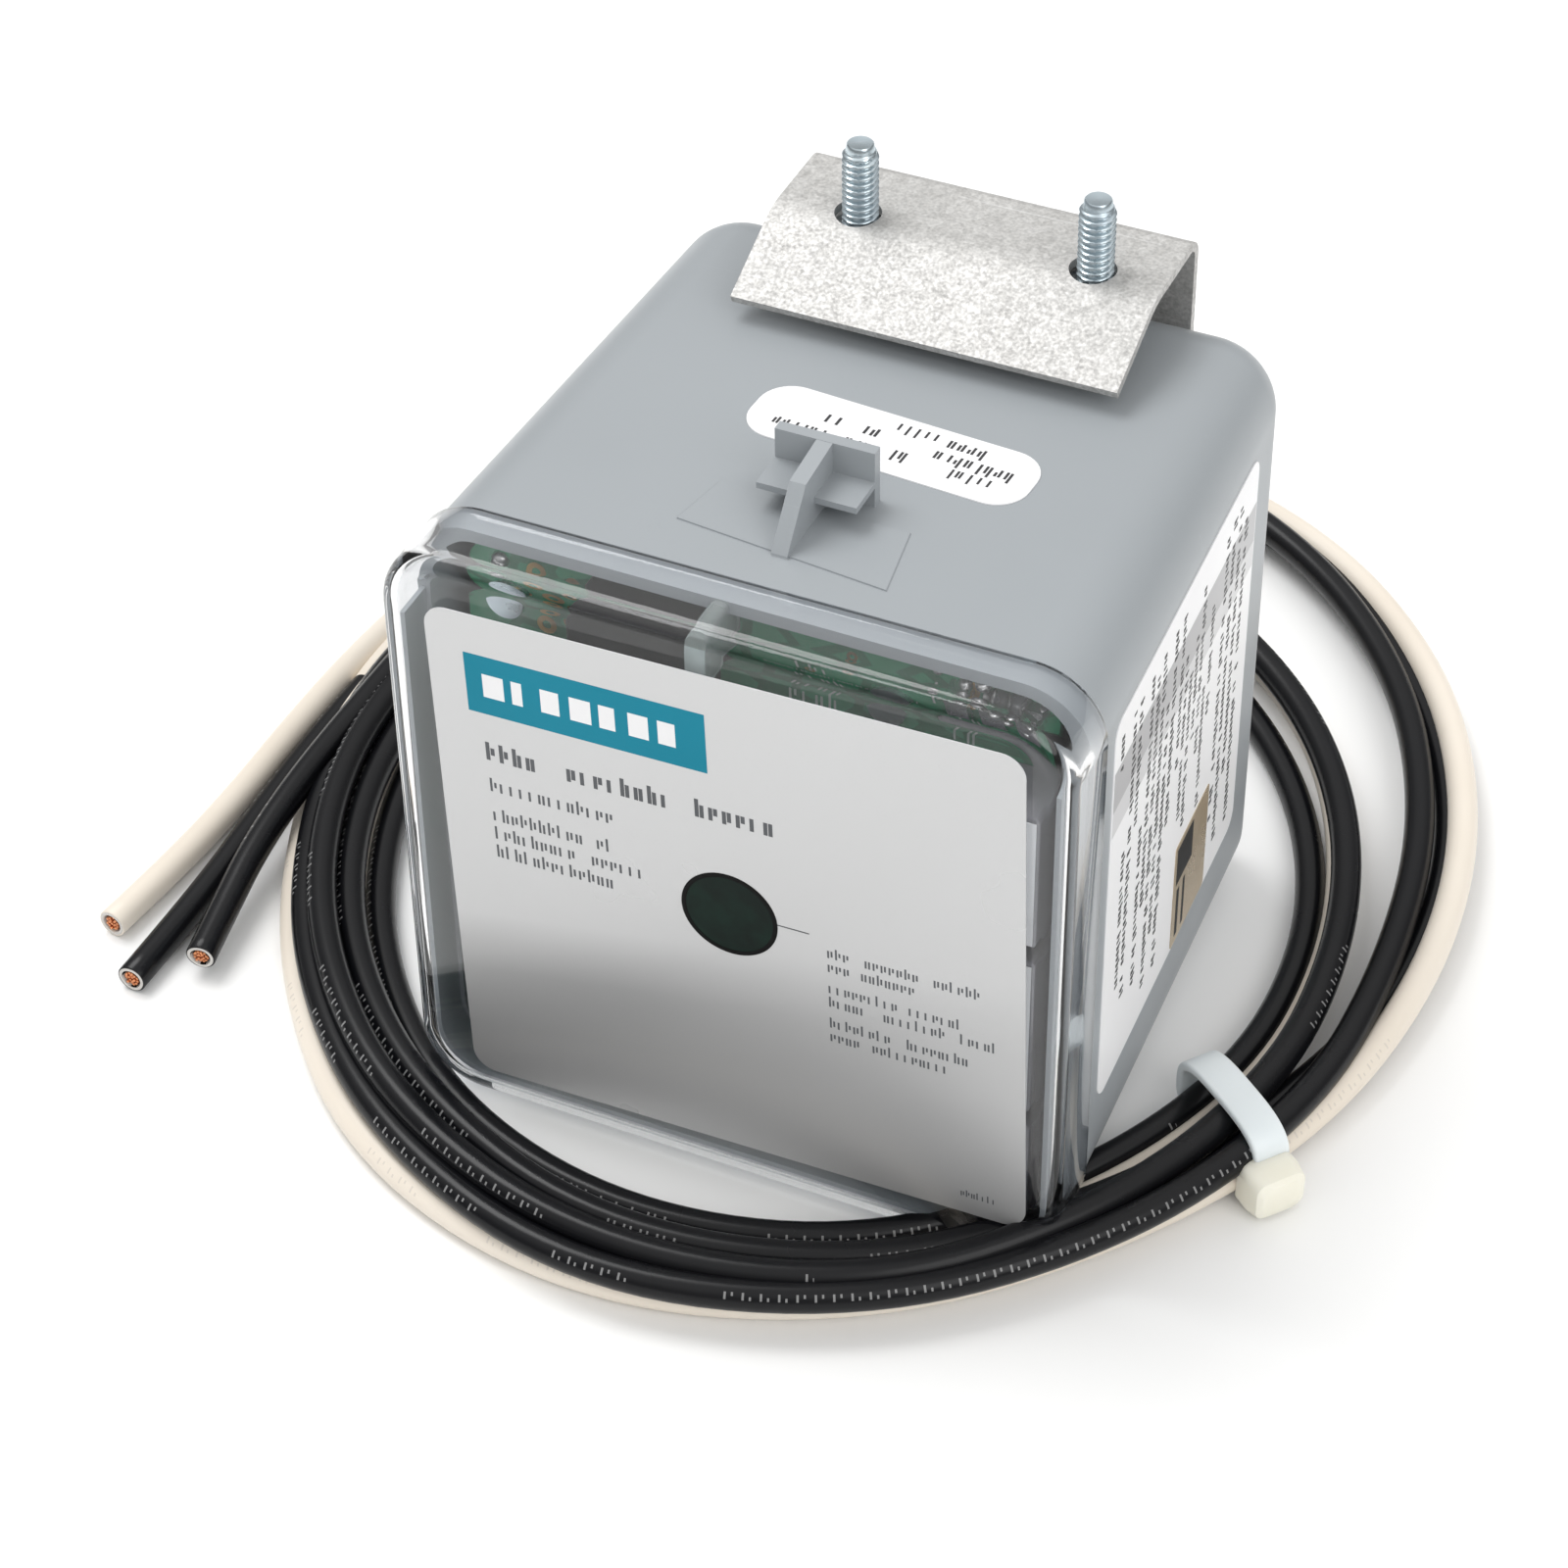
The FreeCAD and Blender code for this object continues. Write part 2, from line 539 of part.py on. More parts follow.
COIL_OUTSIDE = [
    (82.5, 27.5), (79, 57.5), (74.5, 76.5), (60, 103.5), (44, 117.5), (24, 131.5), (-9, 137.5),
    (-45, 127), (-72, 99), (-88, 69), (-96.5, 36.5), (-96.8, -0.5), (-90, -20.5), (-84, -35.5),
    (-77, -46.5), (-63, -61.5), (-43.5, -73.5), (-19, -81), (5, -80.5), (22, -75.5), (45, -60.5),
    (62, -40.5), (73.5, -13), (79, 6)]


def tube(name, points, diameter):
    """Straight runs joined by tangent arcs, each as large as its two runs allow."""
    spots = [FreeCAD.Vector(*point) for point in points]
    edges = []
    last = spots[0]
    for before, here, after in zip(spots, spots[1:], spots[2:]):
        back, ahead = (before - here), (after - here)
        turn = math.pi - back.getAngle(ahead)
        reach = 0.45 * min(back.Length, ahead.Length)
        radius = reach / math.tan(turn / 2)
        back.normalize()
        ahead.normalize()
        start, end = here + back * reach, here + ahead * reach
        inward = (back + ahead).normalize()
        middle = here + inward * (radius / math.cos(turn / 2) - radius)
        edges.append(Part.LineSegment(last, start).toShape())
        edges.append(Part.Arc(start, middle, end).toShape())
        print(f"{name}: turn {math.degrees(turn):.0f} deg, radius {radius:.0f} mm")
        last = end
    edges.append(Part.LineSegment(last, spots[-1]).toShape())
    wire = Part.Wire(edges)
    profile = Part.Wire(Part.Circle(spots[0], spots[1] - spots[0], diameter / 2).toShape())
    shape = wire.makePipeShell([profile], True, False)
    expected = math.pi * diameter ** 2 / 4 * wire.Length
    print(f"{name}: {wire.Length:.0f} mm long, volume / expected {shape.Volume / expected:.4f}")
    item = doc.addObject("Part::Feature", f"{name}_tube")
    item.Shape = shape
    return node(item, name)


def closed_outline(points):
    curve = Part.BSplineCurve()
    curve.interpolate(Points=[FreeCAD.Vector(x, y, 0) for x, y in points], PeriodicFlag=True)
    return Part.Wire(curve.toShape())


def lead_coil():
    """The outer shape of the loose coil that lies round the box."""
    ring = Part.Face(closed_outline(COIL_OUTSIDE)).cut(Part.Face(closed_outline(COIL_INSIDE)))
    item = doc.addObject("Part::Feature", "coil_ring")
    item.Shape = ring.Faces[0].extrude(FreeCAD.Vector(0, 0, number("coil_height")))
    node(item, "lead_coil")


def cable_tie():
    """A closed band round the bundle with its locking head on the outer side."""
    turn = FreeCAD.Rotation(FreeCAD.Vector(0, 0, 1), number("tie_turn"))

    def local(name, length, width, height, x, y, z):
        item = doc.addObject("Part::Box", name)
        bind(item, Length=length, Width=width, Height=height)
        corner = turn.multVec(FreeCAD.Vector(number(x), number(y), 0))
        item.Placement = FreeCAD.Placement(FreeCAD.Vector(), turn)
        return place(item, f"tie_x + ({corner.x:.4f})", f"tie_y + ({corner.y:.4f})", z)
    outer = local("tie_outer", "tie_reach", "tie_width", "tie_tall", "-tie_reach / 2", "-tie_width / 2", 0)
    inner = local("tie_inner", "tie_reach - 2 * tie_thick", "tie_width + 2", "tie_tall - 2 * tie_thick",
                  "tie_thick - tie_reach / 2", "-tie_width / 2 - 1", "tie_thick")
    band = cut("tie_band", outer, inner)
    head = local("tie_head", 6.5, 8.5, 5.2, "tie_reach / 2 - tie_thick", "-5.6", 1.6)
    node(fuse("tie_solids", [band, head]), "cable_tie")


def build():
    housing()
    clear_cover()
    front_label()
    rating_label()
    side_stickers()
    hanger_bracket()
    mounting_screws()
    circuit_board()
    front_parts()
    back_parts()
    lead_bushing()
    for name, route in list(EXITS.items()) + list(TAILS.items()):
        tube(name, route, number("lead_diameter"))
    lead_coil()
    cable_tie()


def check_and_write():
    doc.recompute()
    for item in doc.Objects:
        if {"Invalid", "Error"} & set(item.State):
            raise RuntimeError(f"{item.Name} failed: {item.State}")
    os.makedirs("parts", exist_ok=True)
    for item in NODES:
        if item.Shape.isNull() or not item.Shape.isValid():
            raise RuntimeError(f"{item.Label} has no valid shape")
        print(f"{item.Label}: {len(item.Shape.Solids)} solid(s), {item.Shape.Volume:.0f} mm3")
        item.Shape.exportStep(f"parts/{item.Label}.step")


build()
check_and_write()
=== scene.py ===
"""The looks of a whole house surge protector: a moulded grey box with a clear cover, a galvanised
hanger bracket on two threaded studs, and three coiled leads in a nylon tie. Lengths are in metres."""
import math

import bmesh
import bpy
import numpy as np
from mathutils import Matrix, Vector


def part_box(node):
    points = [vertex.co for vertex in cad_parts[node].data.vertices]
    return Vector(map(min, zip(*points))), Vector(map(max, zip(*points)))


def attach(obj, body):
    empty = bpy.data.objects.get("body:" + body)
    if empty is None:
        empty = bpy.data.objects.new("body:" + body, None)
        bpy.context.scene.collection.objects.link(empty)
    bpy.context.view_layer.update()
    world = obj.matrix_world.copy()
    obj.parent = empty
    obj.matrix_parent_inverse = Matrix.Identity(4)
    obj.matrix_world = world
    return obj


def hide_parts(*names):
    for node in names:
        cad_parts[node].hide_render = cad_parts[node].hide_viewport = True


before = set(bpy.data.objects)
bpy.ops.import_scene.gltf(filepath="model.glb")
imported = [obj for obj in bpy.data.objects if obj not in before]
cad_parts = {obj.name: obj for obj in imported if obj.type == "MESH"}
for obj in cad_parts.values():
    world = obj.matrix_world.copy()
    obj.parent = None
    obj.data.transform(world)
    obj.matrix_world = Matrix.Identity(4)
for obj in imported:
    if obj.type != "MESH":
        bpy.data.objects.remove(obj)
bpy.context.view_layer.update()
MM = 0.001
FRONT = -48.5          # depth of the cover's front face, in millimetres
rng = np.random.default_rng(7)

# ---------------------------------------------------------------- camera
lens = bpy.data.cameras.new("camera")
lens.lens, lens.sensor_width = 96.671, 36.0
camera = bpy.data.objects.new("camera", lens)
camera.location = (0.187986, -0.429719, 0.448320)
camera.rotation_euler = [math.radians(angle) for angle in (48.7634, 0.6830, 24.4048)]
bpy.context.scene.collection.objects.link(camera)
bpy.context.scene.camera = camera


# ---------------------------------------------------------------- shapes
def put(name, points, faces, corners=None, smooth=True, sharp=35):
    """A mesh object from points and faces, with an optional UV layer and smooth shading that stays sharp past
    an angle.
    """
    mesh = bpy.data.meshes.new(name)
    mesh.from_pydata(np.asarray(points, float).tolist(), [], faces)
    if corners is not None:
        layer = mesh.uv_layers.new(name="along")
        layer.data.foreach_set("uv", np.asarray(corners, np.float32).ravel())
    mesh.update()
    if smooth:
        mesh.shade_smooth()
        mesh.set_sharp_from_angle(angle=math.radians(sharp))
    item = bpy.data.objects.new(name, mesh)
    bpy.context.scene.collection.objects.link(item)
    return item


def volume(points, faces):
    """Six times the volume inside a closed skin: the sum of corner triple products over a fan of each
    face."""
    total = 0.0
    middle = points.mean(axis=0)
    for size in {len(face) for face in faces}:
        block = np.array([face for face in faces if len(face) == size])
        p = points[block] - middle
        for k in range(1, size - 1):
            total += np.einsum("ij,ij->", p[:, 0], np.cross(p[:, k], p[:, k + 1]))
    return total


def skin(name, rings, looped=False, lengths=None, **shading):
    """A closed skin over a row of rings, an (m, n, 3) array in metres: quads from each ring to the next,
    and a flat polygon at each end unless the row is looped."""
    rings = np.asarray(rings, float)
    rows, around = rings.shape[:2]
    here = np.arange(rows * around).reshape(rows, around)
    if not looped:
        here = here[:-1]
    beside = np.roll(here, -1, axis=1)
    after = (here + around) % (rows * around)
    after_beside = (beside + around) % (rows * around)
    quads = np.stack([here, beside, after_beside, after], axis=-1).reshape(-1, 4)
    points = rings.reshape(-1, 3)
    faces = quads.tolist()
    if not looped:
        first = np.arange(around)
        faces += [first[::-1].tolist(), (first + (rows - 1) * around).tolist()]
    corners = None
    if lengths is not None:
        u0, u1 = np.broadcast_to(lengths[:-1, None], here.shape), np.broadcast_to(lengths[1:, None],
                                                                                  here.shape)
        v0 = np.broadcast_to(np.arange(around) / around, here.shape)
        v1 = v0 + 1 / around
        corners = np.stack([u0, v0, u0, v1, u1, v1, u1, v0], axis=-1).reshape(-1, 2)
        corners = np.concatenate([corners, np.zeros((2 * around, 2))])
    if volume(points, faces) < 0:
        faces = [face[::-1] for face in faces]
        if corners is not None:
            quad_part = corners[: 4 * len(quads)].reshape(-1, 4, 2)[:, ::-1].reshape(-1, 2)
            corners = np.concatenate([quad_part, corners[4 * len(quads):]])
    return put(name, points, faces, corners, **shading)


def rounded(width, height, radius, steps=10):
    """The outline of a rounded rectangle about the origin: a quarter circle at each corner, (4 * steps,
    2)."""
    quarter = np.linspace(0, math.pi / 2, steps)
    turn = (quarter[None, :] + np.arange(4)[:, None] * math.pi / 2).ravel()
    side = np.repeat(np.array([[1, 1], [-1, 1], [-1, -1], [1, -1]]), steps, axis=0)
    middle = side * np.array([width / 2 - radius, height / 2 - radius])
    return middle + radius * np.stack([np.cos(turn), np.sin(turn)], axis=1)


class Face:
    """A flat place on the object: an origin and the directions right, up and out, in millimetres. Out is
    right crossed with up unless it is given."""

    def __init__(self, origin, right, up, turn=0.0, out=None):
        self.origin = np.array(origin, float)
        if out is not None:
            self.axes = np.array([right, up, out], float)
            return
        right, up = np.array(right, float), np.array(up, float)
        right, up = right / np.linalg.norm(right), up / np.linalg.norm(up)
        c, s = math.cos(math.radians(turn)), math.sin(math.radians(turn))
        self.axes = np.array([c * right + s * up, c * up - s * right, np.cross(right, up)])

    def at(self, points):
        """Points on the face, from millimetres across, up and out, as places in metres."""
        return (self.origin + np.asarray(points, float) @ self.axes) * MM


def plate(name, face, outline, low, high, edge=0.04, **shading):
    """A thin plate: its outline at the low level, then at the high level with a slightly drawn-in top
    edge."""
    flat = np.asarray(outline, float)
    middle = flat.mean(axis=0)
    reach = np.linalg.norm(flat - middle, axis=1, keepdims=True)
    drawn = middle + (flat - middle) * (1 - edge / reach)
    rings = [np.column_stack([shape, np.full(len(flat), level)])
             for shape, level in ((flat, low), (flat, high - edge), (drawn, high))]
    return skin(name, [face.at(ring) for ring in rings], **shading)


def strokes(name, face, boxes, low=0.0, high=0.03):
    """Many small flat blocks on a face, from rows of (left, bottom, right, top): eight corners each."""
    boxes = np.asarray(boxes, float)
    x = boxes[:, [0, 2, 2, 0, 0, 2, 2, 0]]
    y = boxes[:, [1, 1, 3, 3, 1, 1, 3, 3]]
    z = np.broadcast_to(np.array([low] * 4 + [high] * 4), x.shape)
    points = face.at(np.stack([x, y, z], axis=-1).reshape(-1, 3))
    sides = np.array([[3, 2, 1, 0], [4, 5, 6, 7], [0, 1, 5, 4], [1, 2, 6, 5], [2, 3, 7, 6], [3, 0, 4, 7]])
    faces = (sides[None] + 8 * np.arange(len(boxes))[:, None, None]).reshape(-1, 4).tolist()
    return put(name, points, faces, smooth=False)


def mock_print(rows, spread=0.62, weight=0.15, gaps=0.14):
    """Blocks that stand in for lines of small print, and spell nothing: plain upright ticks, one or two to a
    place, in groups with gaps between. Each row is (left, right, base, height)."""
    blocks = []
    for left, right, base, tall in rows:
        count = max(int((right - left) / (spread * tall)), 1)
        x = left + np.arange(count) * spread * tall
        shown = rng.random(count) >= gaps
        x = x[shown]
        rise = np.where(rng.random(len(x)) > 0.7, 1.0, 0.7) * tall
        wide = weight * tall
        second = rng.random(len(x)) > 0.35
        low = base + rng.choice([0.0, 0.15, 0.3], len(x)) * tall
        reach = 0.42 * tall
        blocks.append(np.stack([x, np.full(len(x), base), x + wide, base + rise], axis=1))
        x2 = x[second] + reach - wide
        blocks.append(np.stack([x2, low[second], x2 + wide, np.full(len(x2), base + 0.7 * tall)], axis=1))
    return np.concatenate(blocks)


def refined(node, name, width=0.0003, sharp=30, segments=2):
    """A copy of a frame part with its doubled points merged, its flat faces joined and its hard edges
    rounded."""
    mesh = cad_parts[node].data.copy()
    mesh.name = name
    item = bpy.data.objects.new(name, mesh)
    bpy.context.scene.collection.objects.link(item)
    work = bmesh.new()
    work.from_mesh(mesh)
    bmesh.ops.remove_doubles(work, verts=work.verts, dist=2e-6)
    bmesh.ops.dissolve_limit(work, angle_limit=math.radians(0.4), verts=work.verts, edges=work.edges)
    bmesh.ops.recalc_face_normals(work, faces=work.faces)
    bmesh.ops.triangulate(work, faces=work.faces, quad_method="BEAUTY", ngon_method="EAR_CLIP")
    work.to_mesh(mesh)
    work.free()
    mesh.shade_smooth()
    mesh.set_sharp_from_angle(angle=math.radians(sharp))
    if width:
        round_off = item.modifiers.new("edges", "BEVEL")
        round_off.width, round_off.segments = width, segments
        round_off.limit_method, round_off.angle_limit = "ANGLE", math.radians(sharp)
        round_off.use_clamp_overlap = True
    level_out = item.modifiers.new("flat faces lead", "WEIGHTED_NORMAL")
    level_out.keep_sharp = True
    return item


# ---------------------------------------------------------------- leads
LEAD_RADIUS = 2.375
BORE_RADIUS = 1.62
COIL_CENTRE = (-9.5, 27.5)
COIL_START = 112.5     # degrees
COIL_STEP = 22.5       # degrees, sixteen to the turn
COIL_SPREAD = 1.02     # control points lie a little outside the curve that they draw
EXITS = {
    "left": [(-7, 51, 16), (-8, 66, 13.5), (-13, 80, 8.6), (-23, 90.5, 5.2), (-37, 95.5, 4), (-50, 91.5, 3)],
    "middle": [(0, 51, 16), (-1, 67, 13.5), (-6, 82, 8.6), (-16, 94.5, 5.2), (-30, 101.5, 4),
               (-46, 101.5, 3)],
    "right": [(7, 51, 16), (6, 68, 13.5), (0, 85, 8.6), (-12, 99, 5.2), (-27, 109, 4)],
}
LANES = {
    "left": [(76.5, 2.5), (75, 2.5), (75.2, 2.5), (76.5, 2.5), (80.6, 2.5), (86.9, 2.5), (90, 2.5),
             (88.4, 2.6), (81.2, 3.1), (76.4, 3.7), (71, 2.8), (67.8, 2.5), (66.8, 2.5), (68.5, 2.5),
             (72, 2.5), (75.5, 2.5), (78, 3.5), (78.5, 5), (77.8, 6.5), (80.7, 6.7), (85.2, 6.7),
             (91, 6.7), (96.8, 6.5), (95.7, 6.3), (88.3, 5.5), (85.5, 4), (86.8, 2.5), (90.3, 2.5),
             (95, 2.5), (101.5, 2.5), (107, 2.5), (103, 2.5), (95.5, 2.5)],
    "middle": [(81.3, 2.5), (79.5, 2.5), (79.5, 2.5), (81, 2.5), (85.2, 2.5), (91.5, 2.5), (94.8, 2.5),
               (93, 2.6), (86, 3.1), (80, 2.7), (74.6, 2.5), (73.2, 2.5), (74.6, 2.5), (77.4, 2.5),
               (81, 2.5), (85, 2.5), (89, 2.5), (92.5, 2.5), (91, 2.5), (89.5, 2.5), (94.2, 2.5),
               (102.2, 2.5), (104.8, 2.5), (100, 2.5), (93, 3), (90.9, 3.8), (90.1, 5.5), (92.2, 5.5),
               (97.7, 4.5), (104.7, 3), (109, 2.5), (107.5, 2.5), (100.5, 2.5)],
    "right": [(86, 4), (85.5, 5), (84, 6.5), (82, 8.5), (84.7, 9.8), (89.6, 9.6), (96.4, 9), (101.3, 7.9),
              (101, 7.9), (91.6, 8), (83.5, 8), (76.2, 7.2), (73.1, 7.3), (72.6, 7.3), (74.2, 7.2), (78.4, 7),
              (86, 7.2), (87, 7.7), (86.6, 7), (87.5, 6), (87.3, 6.4), (92.2, 6.4), (99.5, 6.6),
              (106.2, 6.8), (103.2, 6.8), (95.9, 7), (90, 7.6), (83.9, 6.4), (85.3, 5.8), (91.1, 5.6),
              (98.7, 5.6), (105.5, 5.8), (100, 6.5), (91.5, 7)],
}
FREE_ENDS = {
    "left": [(-84, 84, 2.5), (-93.5, 67.5, 2.5), (-98.2, 49, 2.5), (-100.4, 30, 2.5), (-101, 11, 2.5),
             (-100.4, -8.5, 2.5), (-99.3, -29.5, 2.5), (-99.8, -50, 2.5)],
    "middle": [(-88, 86.5, 2.5), (-98, 69.5, 2.5), (-103, 51, 2.5), (-105.3, 32, 2.5), (-106, 13, 2.5),
               (-105.9, -6, 2.5), (-106.8, -23.5, 2.5), (-109, -40.5, 2.5)],
    "right": [(-80, 82, 7), (-88.5, 66, 8), (-92.9, 49, 8.5), (-94.4, 31, 8.6), (-94.9, 13, 8.5),
              (-95.3, -4, 8), (-94.9, -20, 6.6), (-93.1, -33, 5), (-91.5, -43, 4.2)],
}


def coil_turns(lane, first):
    """Sixteen points to the turn: a radius and a height for each, the angle growing by an even step."""
    points = []
    for step, (radius, height) in enumerate(lane, first):
        turn = math.radians(COIL_START + COIL_STEP * step)
        points.append((COIL_CENTRE[0] + COIL_SPREAD * radius * math.cos(turn),
                       COIL_CENTRE[1] + COIL_SPREAD * radius * math.sin(turn), height))
    return points


def smooth_line(points):
    """The line of a NURBS spline of order 3 with these control points, in metres."""
    curve = bpy.data.curves.new("route", "CURVE")
    curve.dimensions, curve.resolution_u = "3D", 10
    spline = curve.splines.new("NURBS")
    spline.points.add(len(points) - 1)
    controls = np.column_stack([np.array(points, float) * MM, np.ones(len(points))])
    spline.points.foreach_set("co", controls.ravel())
    spline.order_u, spline.use_endpoint_u = 3, True
    holder = bpy.data.objects.new("route", curve)
    bpy.context.scene.collection.objects.link(holder)
    mesh = bpy.data.meshes.new_from_object(holder)
    line = np.empty(len(mesh.vertices) * 3)
    mesh.vertices.foreach_get("co", line)
    bpy.data.objects.remove(holder)
    bpy.data.curves.remove(curve)
    bpy.data.meshes.remove(mesh)
    return line.reshape(-1, 3)


def frames(line):
    """Unit directions along a line, beside it and above it; beside is level."""
    along = np.gradient(line, axis=0)
    along /= np.linalg.norm(along, axis=1, keepdims=True)
    beside = np.cross(along, [0, 0, 1.0])
    beside /= np.linalg.norm(beside, axis=1, keepdims=True)
    return along, beside, np.cross(beside, along)


def skin_along(name, centres, beside, above, radii, around):
    """A round skin: at each centre a circle of that point's radius, its points the cosine of a turn beside
    the line and the sine above it. The UV's first value is the length run so far."""
    turn = np.arange(around) * 2 * math.pi / around
    rings = (centres[:, None] + radii[:, None, None] *
             (np.cos(turn)[None, :, None] * beside[:, None] + np.sin(turn)[None, :, None] * above[:, None]))
    steps = np.linalg.norm(np.diff(centres, axis=0), axis=1)
    lengths = np.concatenate([[0], np.cumsum(steps)])
    return skin(name, rings, lengths=lengths, sharp=50)


def lead(side, name, nodes, finish, first):
    """A lead: its tube follows the spline, closed at the exit, and cut square with a bore at the free end."""
    route = EXITS[side] + coil_turns(LANES[side], first) + FREE_ENDS[side]
    line = smooth_line(route)
    along, beside, above = frames(line)
    tip, ahead = line[-1], along[-1]
    radius, bore = LEAD_RADIUS * MM, BORE_RADIUS * MM
    shift = np.array([0.0, 0.0, 0.0, -3.0]) * MM
    extra = tip + ahead * (shift[:, None])
    centres = np.concatenate([line[:-1], tip[None] - ahead * 0.12 * MM, extra])
    sides = np.concatenate([beside, np.repeat(beside[-1:], 4, axis=0)])
    tops = np.concatenate([above, np.repeat(above[-1:], 4, axis=0)])
    radii = np.concatenate([np.full(len(line), radius), [radius - 0.1 * MM, 2.2 * MM, bore, bore]])
    body = skin_along(name, centres, sides, tops, radii, 28)
    place = Face(tip / MM, beside[-1], above[-1], out=ahead)
    turn = np.arange(40) * 2 * math.pi / 40
    circle = np.stack([np.cos(turn), np.sin(turn)], axis=1)
    wobble = 1 + 0.02 * np.sin(3 * turn + len(name))[:, None]
    sizes = [(2.12, -1.2), (2.12, 0.03), (2.04, 0.08), (1.66, 0.05), (1.6, -0.05), (1.6, -1.2)]
    rings = [place.at(np.column_stack([circle * size * wobble, np.full(40, level)])) for size, level in sizes]
    inner = skin(f"{name}_inner_jacket", rings, looped=True)
    strands = copper_strands(f"{name}_strands", place)
    dress(body, finish, nodes + ["lead_coil"])
    dress(inner, jacket_white)
    dress(strands, copper)


def copper_strands(name, place):
    """Nineteen round wires in a hexagonal bundle, each a short post with a rounded, slightly uneven tip."""
    ring = [(0.0, 0.0)]
    for count, reach in ((6, 0.52), (12, 1.02)):
        turn = np.arange(count) * 2 * math.pi / count + 0.2
        ring += list(zip(reach * np.cos(turn), reach * np.sin(turn)))
    centres = np.array(ring) + rng.normal(0, 0.025, (len(ring), 2))
    turn = np.arange(10) * 2 * math.pi / 10
    circle = np.stack([np.cos(turn), np.sin(turn)], axis=1)
    sizes = np.array([0.26, 0.26, 0.22, 0.11])
    levels = np.array([-1.5, -0.1, 0.0, 0.03])
    points, faces = [], []
    tips = rng.uniform(-0.25, 0.1, len(centres))
    quad = np.arange(3)[:, None] * 10 + np.arange(10)[None]
    nxt = np.arange(3)[:, None] * 10 + np.roll(np.arange(10), -1)[None]
    wall = np.stack([quad, nxt, nxt + 10, quad + 10], axis=-1).reshape(-1, 4)
    for index, (centre, tip) in enumerate(zip(centres, tips)):
        shape = centre + circle[None] * sizes[:, None, None]
        level = np.repeat(levels + np.array([0, 1, 1, 1]) * tip, 10)
        points.append(np.column_stack([shape.reshape(-1, 2), level]))
        faces += (wall + 40 * index).tolist()
        faces += [(np.arange(10)[::-1] + 40 * index).tolist(), (np.arange(10) + 30 + 40 * index).tolist()]
    return put(name, place.at(np.concatenate(points)), faces)


# ---------------------------------------------------------------- finishes
def group_of(name, inputs, outputs):
    """An empty shader node group with named inputs and outputs."""
    tree = bpy.data.node_groups.new(name, "ShaderNodeTree")
    for label, kind, value in inputs:
        entry = tree.interface.new_socket(name=label, in_out="INPUT", socket_type=kind)
        entry.default_value = value
    for label, kind in outputs:
        tree.interface.new_socket(name=label, in_out="OUTPUT", socket_type=kind)
    return tree, tree.nodes.new("NodeGroupInput"), tree.nodes.new("NodeGroupOutput")


def make(tree, kind, settings=(), links=()):
    """A node with its properties set, and its inputs set or linked by name or number."""
    item = tree.nodes.new(kind)
    for key, value in dict(settings).items():
        setattr(item, key, value)
    for key, value in dict(links).items():
        if isinstance(value, bpy.types.NodeSocket):
            tree.links.new(value, item.inputs[key])
        else:
            item.inputs[key].default_value = value
    return item


def maths(tree, operation, *values, clamp=False):
    """The output of a maths node whose inputs are these values or sockets, in order."""
    item = make(tree, "ShaderNodeMath", {"operation": operation, "use_clamp": clamp},
                {index: value for index, value in enumerate(values)})
    return item.outputs[0]


def blend(tree, amount, first, second, mode="MIX"):
    """The colour from mixing a second colour over a first by an amount."""
    item = make(tree, "ShaderNodeMix", {"data_type": "RGBA", "blend_type": mode},
                {"Factor": amount, 6: first, 7: second})
    return item.outputs[2]


def noise(tree, where, scale, detail):
    """The value of smooth noise at a place."""
    return make(tree, "ShaderNodeTexNoise", {}, {"Vector": where, "Scale": scale,
                                                 "Detail": detail}).outputs["Fac"]


def remap(tree, value, low, high, to_low=0.0, to_high=1.0):
    """A value moved from one span to another along a straight line, and held at the ends."""
    return make(tree, "ShaderNodeMapRange", {}, {"Value": value, "From Min": low, "From Max": high,
                                                  "To Min": to_low, "To Max": to_high}).outputs["Result"]


FLOAT, COLOUR, VECTOR = "NodeSocketFloat", "NodeSocketColor", "NodeSocketVector"


def grain_group():
    """Moulded or rolled grain: fine noise raises the surface a little, and slow noise wanders the gloss."""
    tree, given, out = group_of("surface_grain", [
        ("Place", VECTOR, (0, 0, 0)), ("Fine", FLOAT, 2500.0), ("Lift", FLOAT, 0.00002),
        ("Gloss low", FLOAT, 0.3), ("Gloss high", FLOAT, 0.45), ("Slow", FLOAT, 30.0)],
        [("Normal", VECTOR), ("Roughness", FLOAT)])
    where = given.outputs["Place"]
    fine = noise(tree, where, given.outputs["Fine"], 2.0)
    slow = noise(tree, where, given.outputs["Slow"], 4.0)
    bump = make(tree, "ShaderNodeBump", {}, {"Strength": 0.6, "Distance": given.outputs["Lift"],
                                             "Height": fine})
    gloss = remap(tree, slow, 0.3, 0.7, given.outputs["Gloss low"], given.outputs["Gloss high"])
    tree.links.new(bump.outputs["Normal"], out.inputs["Normal"])
    tree.links.new(gloss, out.inputs["Roughness"])
    return tree


